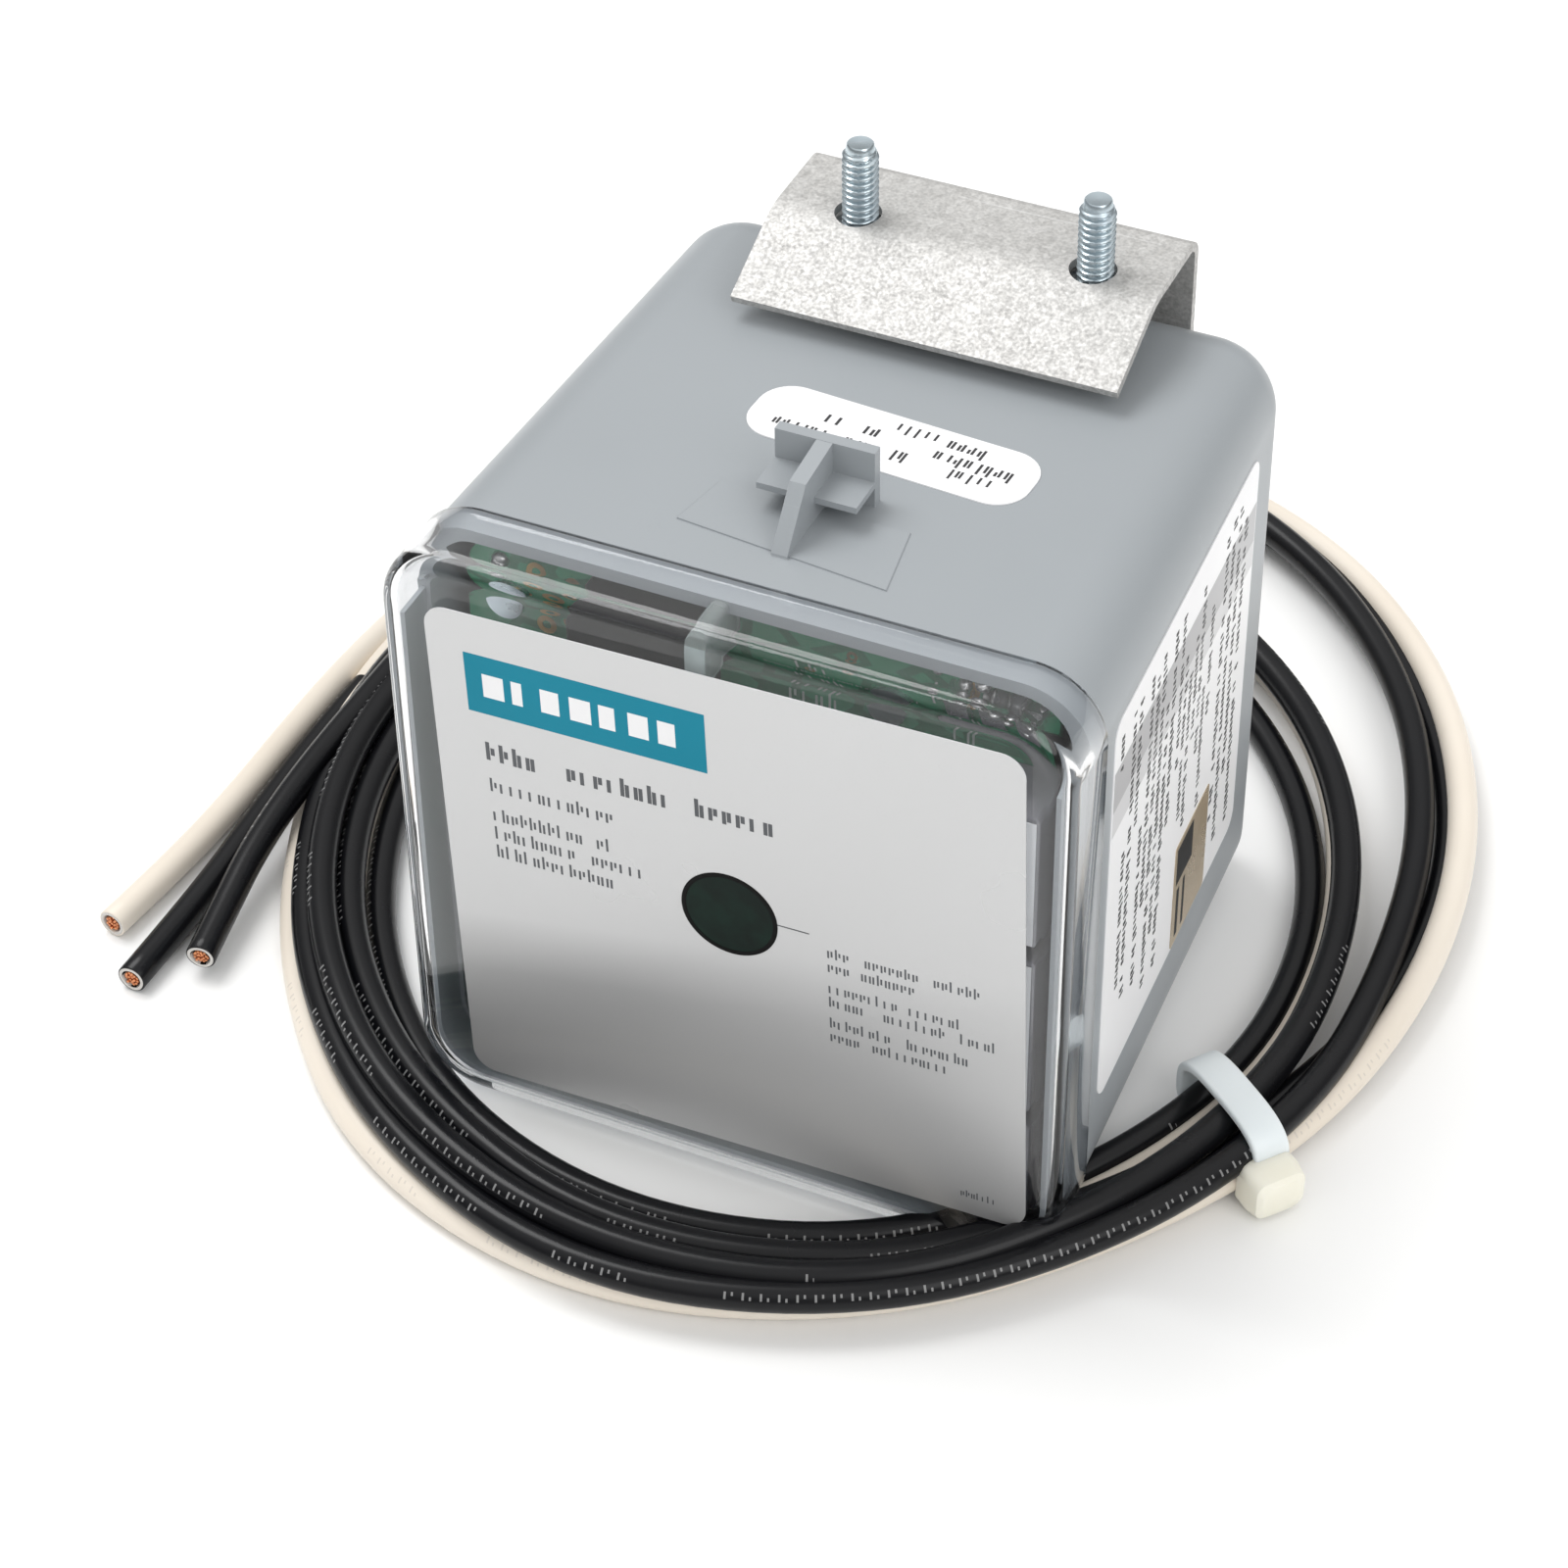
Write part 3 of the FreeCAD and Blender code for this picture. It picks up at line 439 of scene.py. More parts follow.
def wander_group():
    """Colour that drifts slightly: slow noise shades it, and sparse fine specks darken it."""
    tree, given, out = group_of("colour_wander", [
        ("Place", VECTOR, (0, 0, 0)), ("Colour", COLOUR, (0.5, 0.5, 0.5, 1)),
        ("Shade", COLOUR, (0.4, 0.4, 0.4, 1)),
        ("Slow", FLOAT, 25.0), ("Amount", FLOAT, 0.5), ("Specks", FLOAT, 0.3),
        ("Speck scale", FLOAT, 1800.0)],
        [("Colour", COLOUR), ("Mask", FLOAT)])
    where = given.outputs["Place"]
    drift = remap(tree, noise(tree, where, given.outputs["Slow"], 5.0), 0.35, 0.68)
    sparse = remap(tree, noise(tree, where, given.outputs["Speck scale"], 1.0), 0.62, 0.74)
    first = maths(tree, "MULTIPLY", drift, given.outputs["Amount"])
    second = maths(tree, "MULTIPLY", sparse, given.outputs["Specks"])
    mask = maths(tree, "MAXIMUM", first, second, clamp=True)
    colour = blend(tree, mask, given.outputs["Colour"], given.outputs["Shade"])
    tree.links.new(colour, out.inputs["Colour"])
    tree.links.new(mask, out.inputs["Mask"])
    return tree


def scratch_group():
    """Fine straight scratches: noise stretched hard along one direction, cut to its thin crests."""
    tree, given, out = group_of("fine_scratches", [
        ("Place", VECTOR, (0, 0, 0)), ("Across", FLOAT, 900.0), ("Along", FLOAT, 12.0),
        ("Level", FLOAT, 0.66)],
        [("Mask", FLOAT)])
    stretch = make(tree, "ShaderNodeCombineXYZ", {},
                   {"X": given.outputs["Along"], "Y": given.outputs["Across"],
                                                       "Z": given.outputs["Across"]})
    turned = make(tree, "ShaderNodeVectorMath", {"operation": "MULTIPLY"},
                  {0: given.outputs["Place"], 1: stretch.outputs["Vector"]})
    above = maths(tree, "SUBTRACT", noise(tree, turned.outputs["Vector"], 1.0, 2.0), given.outputs["Level"])
    mask = maths(tree, "MULTIPLY", above, 12.0, clamp=True)
    tree.links.new(mask, out.inputs["Mask"])
    return tree


GRAIN, WANDER, SCRATCH = grain_group(), wander_group(), scratch_group()


class Finish:
    """A material under way: its tree, its shader and its object coordinates."""

    def __init__(self, name, **sockets):
        self.material = bpy.data.materials.new(name)
        self.material.use_nodes = True
        self.tree = self.material.node_tree
        self.shader = next(n for n in self.tree.nodes if n.type == "BSDF_PRINCIPLED")
        self.place = self.tree.nodes.new("ShaderNodeTexCoord").outputs["Object"]
        for key, value in sockets.items():
            self.shader.inputs[key.replace("_", " ")].default_value = value

    def node(self, kind, settings=(), links=()):
        """A node in this material's own tree."""
        return make(self.tree, kind, settings, links)

    def link(self, source, target):
        """An output joined to one of the shader's inputs."""
        self.tree.links.new(source, self.shader.inputs[target])

    def use(self, group, **values):
        """A shared group placed in this material, fed with the object's coordinates and these values."""
        sockets = {key.replace("_", " "): value for key, value in values.items()}
        return self.node("ShaderNodeGroup", {"node_tree": group}, {"Place": self.place, **sockets})

    def grain(self, low, high, fine=2500.0, lift=0.00002, slow=30.0):
        """Grain on the normal, and gloss that drifts between a low and a high roughness."""
        item = self.use(GRAIN, Fine=fine, Lift=lift, Gloss_low=low, Gloss_high=high, Slow=slow)
        self.link(item.outputs["Normal"], "Normal")
        self.link(item.outputs["Roughness"], "Roughness")

    def wander(self, colour, shade, slow=25.0, amount=0.5, specks=0.3, speck_scale=1800.0):
        """Base colour that drifts between two colours, with sparse darker specks."""
        item = self.use(WANDER, Colour=(*colour, 1), Shade=(*shade, 1), Slow=slow, Amount=amount,
                        Specks=specks,
                        Speck_scale=speck_scale)
        self.link(item.outputs["Colour"], "Base Color")
        return item


def plain(name, colour, shade, low=0.3, high=0.45, fine=2500.0, lift=0.00002, slow=30.0, amount=0.5,
          specks=0.2,
          **sockets):
    """A one-colour finish with grain, drifting gloss and slight colour change."""
    item = Finish(name, **sockets)
    item.wander(colour, shade, slow, amount, specks)
    item.grain(low, high, fine, lift, slow)
    return item.material


def housing_finish():
    """Moulded grey: satin, slightly drifting in colour, with fine grain and a few pale scuffs."""
    item = Finish("housing_grey_satin", Specular_IOR_Level=0.5)
    colour = item.wander((0.315, 0.338, 0.356), (0.29, 0.312, 0.33), 14.0, 0.6, 0.2, 1500.0)
    marks = item.use(SCRATCH, Across=520.0, Along=9.0, Level=0.71)
    lighter = blend(item.tree, maths(item.tree, "MULTIPLY", marks.outputs["Mask"], 0.12),
                    colour.outputs["Colour"],
                    (0.48, 0.5, 0.52, 1))
    item.link(lighter, "Base Color")
    item.grain(0.3, 0.42, 3200.0, 0.000012, 22.0)
    return item.material


def clear_finish():
    """Clear polycarbonate: true refraction, let through by shadow rays so that the inside is lit."""
    item = Finish("clear_cover_plastic", Transmission_Weight=1.0, IOR=1.48, Specular_IOR_Level=0.3)
    item.wander((0.93, 0.935, 0.945), (0.90, 0.91, 0.92), 20.0, 0.4, 0.0)
    item.grain(0.01, 0.035, 900.0, 0.000002, 18.0)
    tree = item.tree
    light = tree.nodes.new("ShaderNodeLightPath")
    through = make(tree, "ShaderNodeBsdfTransparent", {}, {"Color": (0.95, 0.96, 0.97, 1)})
    passing = maths(tree, "MAXIMUM", light.outputs["Is Shadow Ray"], light.outputs["Is Diffuse Ray"])
    mix = make(tree, "ShaderNodeMixShader", {}, {0: passing, 1: item.shader.outputs[0],
                                                  2: through.outputs[0]})
    out = next(n for n in tree.nodes if n.type == "OUTPUT_MATERIAL")
    tree.links.new(mix.outputs[0], out.inputs["Surface"])
    return item.material


def label_finish():
    """Silver film with a painted reflection: bright above the middle, greyer below a soft line across it,
    with a fine rolled grain.
    """
    item = Finish("label_silver_painted_reflection", Metallic=0.25, Specular_IOR_Level=0.5)
    # painted reflection: the film's bright upper half and greyer lower half, split by a soft slanted line,
    # are painted into its base colour
    axes = item.node("ShaderNodeSeparateXYZ", {}, {0: item.place})
    rise = maths(item.tree, "MULTIPLY_ADD", axes.outputs["X"], -0.2, axes.outputs["Z"])
    level = remap(item.tree, rise, 0.0, 0.1)
    reflection_ramps = []
    for stops in (((0.05, 0.52), (0.14, 0.45), (0.24, 0.35), (0.35, 0.34), (0.41, 0.45), (0.46, 0.57),
                   (1.0, 0.62)),
                  ((0.02, 0.36), (0.12, 0.44), (0.24, 0.50), (0.33, 0.51), (0.40, 0.54), (0.47, 0.58),
                   (1.0, 0.62))):
        steps = item.node("ShaderNodeValToRGB", {}, {0: level})
        ramp = steps.color_ramp
        while len(ramp.elements) < len(stops):
            ramp.elements.new(0.5)
        for element, (place, value) in zip(ramp.elements, stops):
            element.position, element.color = place, (value, value * 1.005, value * 1.012, 1)
        reflection_ramps.append(steps.outputs["Color"])
    # painted reflection: the two ramps of painted reflection are blended across the label from left to right
    silver_and_reflection = blend(item.tree, remap(item.tree, axes.outputs["X"], -0.045, 0.05), *reflection_ramps)
    drift = item.use(WANDER, Colour=silver_and_reflection, Shade=(0.5, 0.5, 0.5, 1), Slow=18.0, Amount=0.1,
                     Specks=0.12, Speck_scale=2600.0)
    item.link(drift.outputs["Colour"], "Base Color")
    item.grain(0.26, 0.34, 4000.0, 0.000006, 20.0)
    return item.material


def galvanised_finish():
    """Rolled galvanised sheet: pale zinc with fine bright and dark flecks, soft spangle and light
    scratches."""
    item = Finish("galvanised_sheet", Metallic=0.55, Specular_IOR_Level=0.3)
    crystals = item.node("ShaderNodeTexVoronoi", {"feature": "F1"}, {"Vector": item.place, "Scale": 900.0})
    flecks = noise(item.tree, item.place, 1900.0, 4.0)
    base = blend(item.tree, remap(item.tree, flecks, 0.3, 0.7), (0.44, 0.434, 0.424, 1),
                 (0.64, 0.632, 0.615, 1))
    facet = item.node("ShaderNodeRGBToBW", {}, {"Color": crystals.outputs["Color"]})
    spangle = blend(item.tree, 0.3, base, facet.outputs["Val"], "SOFT_LIGHT")
    marks = item.use(SCRATCH, Across=700.0, Along=15.0, Level=0.68)
    bright = blend(item.tree, maths(item.tree, "MULTIPLY", marks.outputs["Mask"], 0.35), spangle,
                   (0.9, 0.9, 0.9, 1))
    drift = item.use(WANDER, Colour=bright, Shade=(0.42, 0.42, 0.41, 1), Slow=60.0, Amount=0.22, Specks=0.3,
                     Speck_scale=700.0)
    item.link(drift.outputs["Colour"], "Base Color")
    item.link(remap(item.tree, flecks, 0.3, 0.7, 0.68, 0.5), "Roughness")
    bump = item.node("ShaderNodeBump", {}, {"Strength": 0.7, "Distance": 0.00004, "Height": flecks})
    item.link(bump.outputs["Normal"], "Normal")
    return item.material


def board_finish():
    """Solder-masked board: dark green with slightly lighter copper runs that follow stepped cells."""
    item = Finish("circuit_board_green", Coat_Weight=0.4, Coat_Roughness=0.2)
    runs = item.node("ShaderNodeTexVoronoi", {"feature": "DISTANCE_TO_EDGE", "distance": "EUCLIDEAN"},
                     {"Vector": item.place, "Scale": 130.0, "Randomness": 0.75})
    mask = maths(item.tree, "GREATER_THAN", runs.outputs["Distance"], 0.09)
    green = blend(item.tree, mask, (0.010, 0.17, 0.075, 1), (0.02, 0.30, 0.14, 1))
    drift = item.use(WANDER, Colour=green, Shade=(0.012, 0.12, 0.06, 1), Slow=40.0, Amount=0.3, Specks=0.2,
                     Speck_scale=900.0)
    item.link(drift.outputs["Colour"], "Base Color")
    item.grain(0.3, 0.4, 2000.0, 0.00001)
    return item.material


def lead_finish(name, colour, shade, ink, gloss):
    """Extruded insulation: glossy, with a row of small plain ticks on one side."""
    item = Finish(name, Specular_IOR_Level=0.25)
    uv = item.node("ShaderNodeUVMap", {"uv_map": "along"})
    axes = item.node("ShaderNodeSeparateXYZ", {}, {0: uv.outputs["UV"]})
    along, turn = axes.outputs["X"], axes.outputs["Y"]
    tree = item.tree
    cell = maths(tree, "MULTIPLY", along, 400.0)
    pick, word, legend = (
        make(tree, "ShaderNodeTexWhiteNoise", {"noise_dimensions": "1D"},
             {"W": maths(tree, "FLOOR", maths(tree, "MULTIPLY", along, rate))}).outputs["Value"]
        for rate in (400.0, 80.0, 11.0))
    across = maths(tree, "FRACT", cell)
    level = maths(tree, "DIVIDE", maths(tree, "SUBTRACT", turn, 0.115), 0.036)
    height = maths(tree, "ABSOLUTE", level)
    stem = maths(tree, "LESS_THAN", across, 0.13)
    far_stem = maths(tree, "COMPARE", across, 0.46, 0.06)
    half = maths(tree, "GREATER_THAN", maths(tree, "MULTIPLY", level, maths(tree, "SUBTRACT", pick, 0.5)),
                 0.0)
    shape = maths(tree, "MAXIMUM", stem, maths(tree, "MULTIPLY", far_stem, half))
    shown = maths(tree, "MULTIPLY", maths(tree, "GREATER_THAN", word, 0.3),
                  maths(tree, "GREATER_THAN", legend, 0.5))
    mark = maths(tree, "MULTIPLY", maths(tree, "MULTIPLY", shape, maths(tree, "LESS_THAN", height, 1.0)),
                 maths(tree, "MULTIPLY", shown, 0.42))
    drift = item.use(WANDER, Colour=(*colour, 1), Shade=(*shade, 1), Slow=22.0, Amount=0.6, Specks=0.2,
                     Speck_scale=1400.0)
    item.link(blend(tree, mark, drift.outputs["Colour"], (*ink, 1)), "Base Color")
    item.grain(gloss, gloss + 0.1, 1300.0, 0.000008, 35.0)
    return item.material


def foil_finish():
    """A security foil: gold film with a woven dot pattern, paler and pinker in patches."""
    item = Finish("foil_gold_film", Metallic=0.7)
    dots = item.node("ShaderNodeTexVoronoi", {"feature": "F1"}, {"Vector": item.place, "Scale": 1300.0,
                                                                  "Randomness": 0.2})
    base = blend(item.tree, noise(item.tree, item.place, 110.0, 3.0), (0.42, 0.28, 0.12, 1),
                 (0.78, 0.62, 0.42, 1))
    lines = blend(item.tree, dots.outputs["Distance"], (0.75, 0.65, 0.5, 1), base)
    item.link(lines, "Base Color")
    item.grain(0.25, 0.4, 2500.0, 0.00001)
    return item.material


housing_grey = housing_finish()
clear_plastic = clear_finish()
label_silver = label_finish()
galvanised = galvanised_finish()
board_green = board_finish()
lead_black = lead_finish("lead_black_glossy", (0.004, 0.0042, 0.0055), (0.008, 0.008, 0.009),
                         (0.5, 0.5, 0.5), 0.22)
lead_white = lead_finish("lead_white_warm", (0.80, 0.735, 0.645), (0.72, 0.64, 0.54), (0.5, 0.46, 0.42), 0.28)
foil_gold = foil_finish()
label_white = plain("label_white_film", (0.85, 0.85, 0.86), (0.78, 0.78, 0.79), 0.3, 0.42, 3000.0, 0.000008)
# painted reflection: colours for the grey and the paler strip across the side label
reflection_band_grey = plain("label_painted_reflection_grey", (0.42, 0.42, 0.43), (0.36, 0.36, 0.37), 0.3, 0.42, 3000.0, 0.000006)
reflection_band_pale = plain("label_painted_reflection_pale", (0.62, 0.62, 0.63), (0.55, 0.55, 0.56), 0.3, 0.42, 3000.0, 0.000006)
print_grey = plain("print_ink_grey", (0.085, 0.09, 0.1), (0.06, 0.065, 0.07), 0.4, 0.5, 3000.0, 0.000004)
print_black = plain("print_ink_black", (0.02, 0.02, 0.022), (0.035, 0.035, 0.035), 0.4, 0.5, 3000.0, 0.000004)
print_teal = plain("print_ink_teal", (0.0, 0.22, 0.32), (0.0, 0.18, 0.26), 0.4, 0.5, 3000.0, 0.000004,
                   Specular_IOR_Level=0.2)
print_pale = plain("print_ink_pale", (0.5, 0.55, 0.52), (0.4, 0.46, 0.42), 0.4, 0.5, 3000.0, 0.000004)
window_green = plain("window_tinted_green", (0.003, 0.0085, 0.0065), (0.006, 0.02, 0.014), 0.3, 0.4, 800.0,
                     0.000006,
                     260.0, 0.8, 0.3, Specular_IOR_Level=0.12)
window_ring = plain("window_ring_black", (0.002, 0.002, 0.002), (0.004, 0.004, 0.004), 0.3, 0.4,
                    Specular_IOR_Level=0.1)
zinc = plain("zinc_blue_steel", (0.58, 0.66, 0.70), (0.42, 0.50, 0.56), 0.22, 0.38, 1800.0, 0.00001, 180.0,
             0.6, 0.3,
             Metallic=1.0)
gold_pad = plain("pad_gold_plating", (0.62, 0.40, 0.14), (0.45, 0.26, 0.08), 0.25, 0.4, 2000.0, 0.00001, 90.0,
                 Metallic=0.9)
solder = plain("solder_tin", (0.72, 0.72, 0.72), (0.5, 0.5, 0.5), 0.18, 0.35, 900.0, 0.00004, 160.0,
               Metallic=1.0)
copper = plain("copper_bare", (0.72, 0.30, 0.14), (0.45, 0.16, 0.07), 0.25, 0.42, 1800.0, 0.00001, 500.0, 0.8,
               Metallic=0.9)
jacket_white = plain("inner_jacket_white", (0.62, 0.60, 0.57), (0.5, 0.48, 0.45), 0.35, 0.5, 1500.0,
                     0.00001, 200.0)
tie_nylon = plain("tie_nylon_milky", (0.80, 0.86, 0.88), (0.72, 0.78, 0.80), 0.3, 0.42, 1600.0, 0.00001, 60.0,
                  Subsurface_Weight=0.35, Subsurface_Scale=0.003, Subsurface_Radius=(1.0, 1.0, 1.0))
tie_head_nylon = plain("tie_head_cream", (0.86, 0.84, 0.74), (0.78, 0.75, 0.62), 0.3, 0.42, 1600.0, 0.00001,
                       60.0,
                       Subsurface_Weight=0.35, Subsurface_Scale=0.003, Subsurface_Radius=(1.0, 1.0, 0.9))
module_grey = plain("module_grey_case", (0.20, 0.198, 0.22), (0.10, 0.10, 0.11), 0.12, 0.24, 2200.0,
                    0.00001, 30.0,
                    0.8, 0.2, Coat_Weight=0.3)
module_line = plain("module_edge_white", (0.95, 0.95, 0.96), (0.85, 0.86, 0.88), 0.2, 0.3)
component_dark = plain("component_black_case", (0.008, 0.008, 0.009), (0.018, 0.018, 0.018), 0.35, 0.5,
                       Specular_IOR_Level=0.25)
light_guide = plain("light_guide_acrylic", (0.8, 0.85, 0.82), (0.7, 0.78, 0.74), 0.08, 0.15,
                    Transmission_Weight=0.7)
rib_frosted = plain("rib_milky_clear", (0.74, 0.80, 0.79), (0.5, 0.56, 0.55), 0.08, 0.2, 900.0, 0.00004,
                    220.0, 0.8,
                    Transmission_Weight=0.75)
led_green = plain("led_green_lens", (0.05, 0.5, 0.18), (0.03, 0.35, 0.12), 0.1, 0.2, Transmission_Weight=0.2)
varistor_blue = plain("varistor_blue_epoxy", (0.03, 0.09, 0.32), (0.02, 0.06, 0.22), 0.3, 0.42, 700.0,
                      0.00004)
fuse_tan = plain("fuse_tan_ceramic", (0.55, 0.45, 0.30), (0.45, 0.36, 0.24), 0.45, 0.6)
film_yellow = plain("capacitor_yellow_box", (0.7, 0.5, 0.06), (0.58, 0.4, 0.05), 0.3, 0.42)
bushing_black = plain("bushing_black_nylon", (0.02, 0.02, 0.022), (0.03, 0.03, 0.03), 0.4, 0.52, 1500.0,
                      0.00002)


def dress(item, finish, nodes=(), body="protector"):
    """Give a piece its finish, its body and the frame parts that it stands for."""
    item.data.materials.clear()
    item.data.materials.append(finish)
    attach(item, body)
    if nodes:
        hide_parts(*nodes)
    return item


# ---------------------------------------------------------------- cable tie
TIE_MIDDLE = np.array([65.1, -13.4])
TIE_TURN = math.radians(-38)
TIE_REACH, TIE_RISE = 10.9, 5.95      # half the band's width and height
TIE_LEVEL = 6.0                       # height of the band's middle
TIE_INSET = 0.6                       # from the loop's line in to the strip's middle


def tie_band():
    """A flat band bent round the leads: a squarish rounded loop, and across it a thin rounded strip."""
    turn = np.linspace(0, 2 * math.pi, 96, endpoint=False)
    power = 2 / 3.0
    reach = np.sign(np.cos(turn)) * np.abs(np.cos(turn)) ** power * TIE_REACH
    rise = np.sign(np.sin(turn)) * np.abs(np.sin(turn)) ** power * TIE_RISE + TIE_LEVEL
    out_reach, out_rise = np.gradient(rise), -np.gradient(reach)
    size = np.hypot(out_reach, out_rise)
    out_reach, out_rise = out_reach / size, out_rise / size
    strip = rounded(5.8, 1.5, 0.45, 4)
    across = np.array([-math.sin(TIE_TURN), math.cos(TIE_TURN)])
    forward = np.array([math.cos(TIE_TURN), math.sin(TIE_TURN)])
    level = (reach[:, None] - out_reach[:, None] * (TIE_INSET - strip[None, :, 1]))
    plan = TIE_MIDDLE + level[..., None] * forward + strip[None, :, 0, None] * across
    height = rise[:, None] - out_rise[:, None] * (TIE_INSET - strip[None, :, 1])
    return skin("tie_band", np.concatenate([plan, height[..., None]], axis=-1) * MM, looped=True)


def tie_head():
    """The tie's locking head: a rounded block that narrows outwards."""
    forward = np.array([math.cos(TIE_TURN), math.sin(TIE_TURN), 0])
    across = np.array([-math.sin(TIE_TURN), math.cos(TIE_TURN), 0])
    place = Face((*(TIE_MIDDLE + 10.4 * forward[:2] - 1.2 * across[:2]), 4.2), across, (0, 0, 1), out=forward)
    stations = [(-0.8, 7.8, 6.8, 0.8), (-0.4, 8.6, 7.4, 1.4), (2.4, 8.8, 7.5, 1.6), (4.7, 8.2, 6.8, 1.8),
                (5.3, 6.8, 5.4, 1.8)]
    rings = [place.at(np.column_stack([rounded(w, h, r, 6), np.full(24, depth)])) for depth, w, h,
             r in stations]
    return skin("tie_head", rings)


band = dress(tie_band(), tie_nylon, ["cable_tie"])
head = dress(tie_head(), tie_head_nylon, ["cable_tie"])

# ---------------------------------------------------------------- leads laid out
lead("right", "lead_line_two", ["lead_exit_right", "lead_tail_line_two"], lead_black, 0)
lead("left", "lead_line_one", ["lead_exit_left", "lead_tail_line_one"], lead_black, 1)
lead("middle", "lead_neutral", ["lead_exit_middle", "lead_tail_neutral"], lead_white, 1)


# ---------------------------------------------------------------- box
dress(refined("housing", "housing_moulding", 0.00022, 32), housing_grey, ["housing"])


def cover_cup():
    """A clear cup: rounded rectangles that shrink by an inset while they move forward, outside first from the
    lip round the front edge to the face, then back along the inside to the lip."""
    width, low, high, corner = 101.6, 0.0, 101.0, 10.5
    edge, wall, back, front = 3.6, 2.0, -35.3, FRONT
    quarter = np.linspace(0, math.pi / 2, 9)
    outside = [(edge - edge * math.cos(q), front + edge - edge * math.sin(q)) for q in quarter]
    inner = edge - wall
    inside = [(wall + inner - inner * math.cos(q),
               front + wall + inner - inner * math.sin(q)) for q in quarter]
    profile = [(18.0, front), (9.0, front)] + outside[::-1] + [(0.0, -41.0), (0.0, back - 0.25), (0.15, back)]
    profile += [(wall - 0.2, back), (wall, back - 0.2), (wall, -41.0)] + inside + [(9.0, front + wall),
                                                                                 (18.0, front + wall)]
    rings = []
    for inset, depth in profile:
        shape = rounded(width - 2 * inset, high - low - 2 * inset, max(corner - inset, 3.0), 14)
        rings.append(np.column_stack([shape[:, 0], np.full(len(shape), depth),
                                      shape[:, 1] + (low + high) / 2]))
    return skin("cover_cup", np.array(rings) * MM, sharp=40)


dress(cover_cup(), clear_plastic, ["clear_cover"])
rib = Face((-3.0, -46.4, 94.6), (1, 0, 0), (0, 0, 1), out=(0, 1, 0))
rib_rings = [rib.at(np.column_stack([rounded(3.0 - draw, 8.6 - draw, 0.9, 6), np.full(24, depth)]))
             for depth, draw in ((-0.1, 0.0), (10.5, 0.4), (10.9, 1.0))]
dress(skin("cover_rib", rib_rings), rib_frosted)


def inner_collar():
    """The grey lip that stands inside the cover: a thin upright strip that follows a rounded rectangle down
    one side, along the bottom and up the other."""
    steps = 10
    loop = rounded(96.4, 95.8, 7.9, steps)
    path = loop[list(range(2 * steps - 1, 4 * steps)) + [0]]
    way = np.gradient(path, axis=0)
    inward = np.stack([-way[:, 1], way[:, 0]], axis=1) / np.linalg.norm(way, axis=1, keepdims=True)
    section = np.array([(0.0, -45.4), (0.0, -34.6), (0.7, -34.6), (0.7, -45.2)])
    plan = path[:, None] + section[None, :, :1] * inward[:, None]
    depth = np.broadcast_to(section[None, :, 1], plan.shape[:2])
    rings = np.stack([plan[..., 0], depth, plan[..., 1] + 50.5], axis=-1)
    rings[[0, -1], :, 2] -= 2.0
    return skin("inner_collar", rings * MM, sharp=50)


dress(inner_collar(), housing_grey)
pad_corners = np.array([(-15.6, 22.3), (16.7, 19.1), (14.8, 31.8), (-13.7, 32.2)]) + np.array([0, FRONT])
top = Face((0, 0, 100.4), (1, 0, 0), (0, 1, 0))
dress(plate("hook_pad", top, pad_corners, -0.2, 0.22, 0.15, sharp=20), housing_grey)

# ---------------------------------------------------------------- labels
front_face = Face((1.8, FRONT, 51.2), (1, 0, 0), (0, 0, 1), 1.5)
dress(plate("front_label_film", front_face, rounded(87.6, 87, 3.5), 0.0, 0.22), label_silver,
      ["front_label"])

teal = [(-38.2, 26.6, -2.1, 36.8)]
dress(strokes("label_teal_block", front_face, teal, 0.2, 0.245), print_teal)
shapes = [(-35.6 + 4.4 * step, 29.7, -32.4 + 4.4 * step - cut, 33.7)
          for step, cut in enumerate((0.0, 1.6, 0.4, 0.0, 0.8, 0.2, 0.6))]
dress(strokes("label_block_pattern", front_face, shapes, 0.24, 0.26), label_white)
heading = mock_print([(-36.2, -26.0, 18.3, 3.2), (-23.8, -6.6, 18.3, 3.2), (-4.4, 8.4, 18.3, 3.2)], 0.64,
                     0.19, 0.0)
lines = mock_print([(-36.1, -16.0, 12.6, 2.4), (-36.1, -21.5, 7.2, 2.3), (-20.0, -16.4, 7.2, 2.3),
                    (-36.1, -22.5, 3.8, 2.3), (-21.0, -12.0, 3.8, 2.3), (-36.1, -17.0, 0.4, 2.3),
                    (14.6, 19.2, -1.2, 1.9), (20.2, 29.0, -1.2, 1.9), (30.4, 37.5, -1.2, 1.9),
                    (14.6, 18.5, -3.8, 1.9), (19.6, 28.0, -3.8, 1.9), (14.6, 25.4, -7.8, 1.9),
                    (26.6, 36.0, -7.8, 1.9), (14.6, 21.6, -10.4, 1.9), (22.8, 33.0, -10.4, 1.9),
                    (34.2, 40.4, -10.4, 1.9), (14.6, 25.0, -14.4, 1.9), (26.2, 36.8, -14.4, 1.9),
                    (14.6, 19.8, -17.0, 1.9), (21.0, 33.4, -17.0, 1.9), (34.0, 40.0, -40.2, 1.3)], 0.62,
                    0.15, 0.0)
dress(strokes("label_heading", front_face, heading, 0.2, 0.24), print_grey)
dress(strokes("label_small_print", front_face, np.concatenate([lines, [[7.2, 2.2, 12.0, 2.4]]]), 0.2, 0.24),
      print_grey)

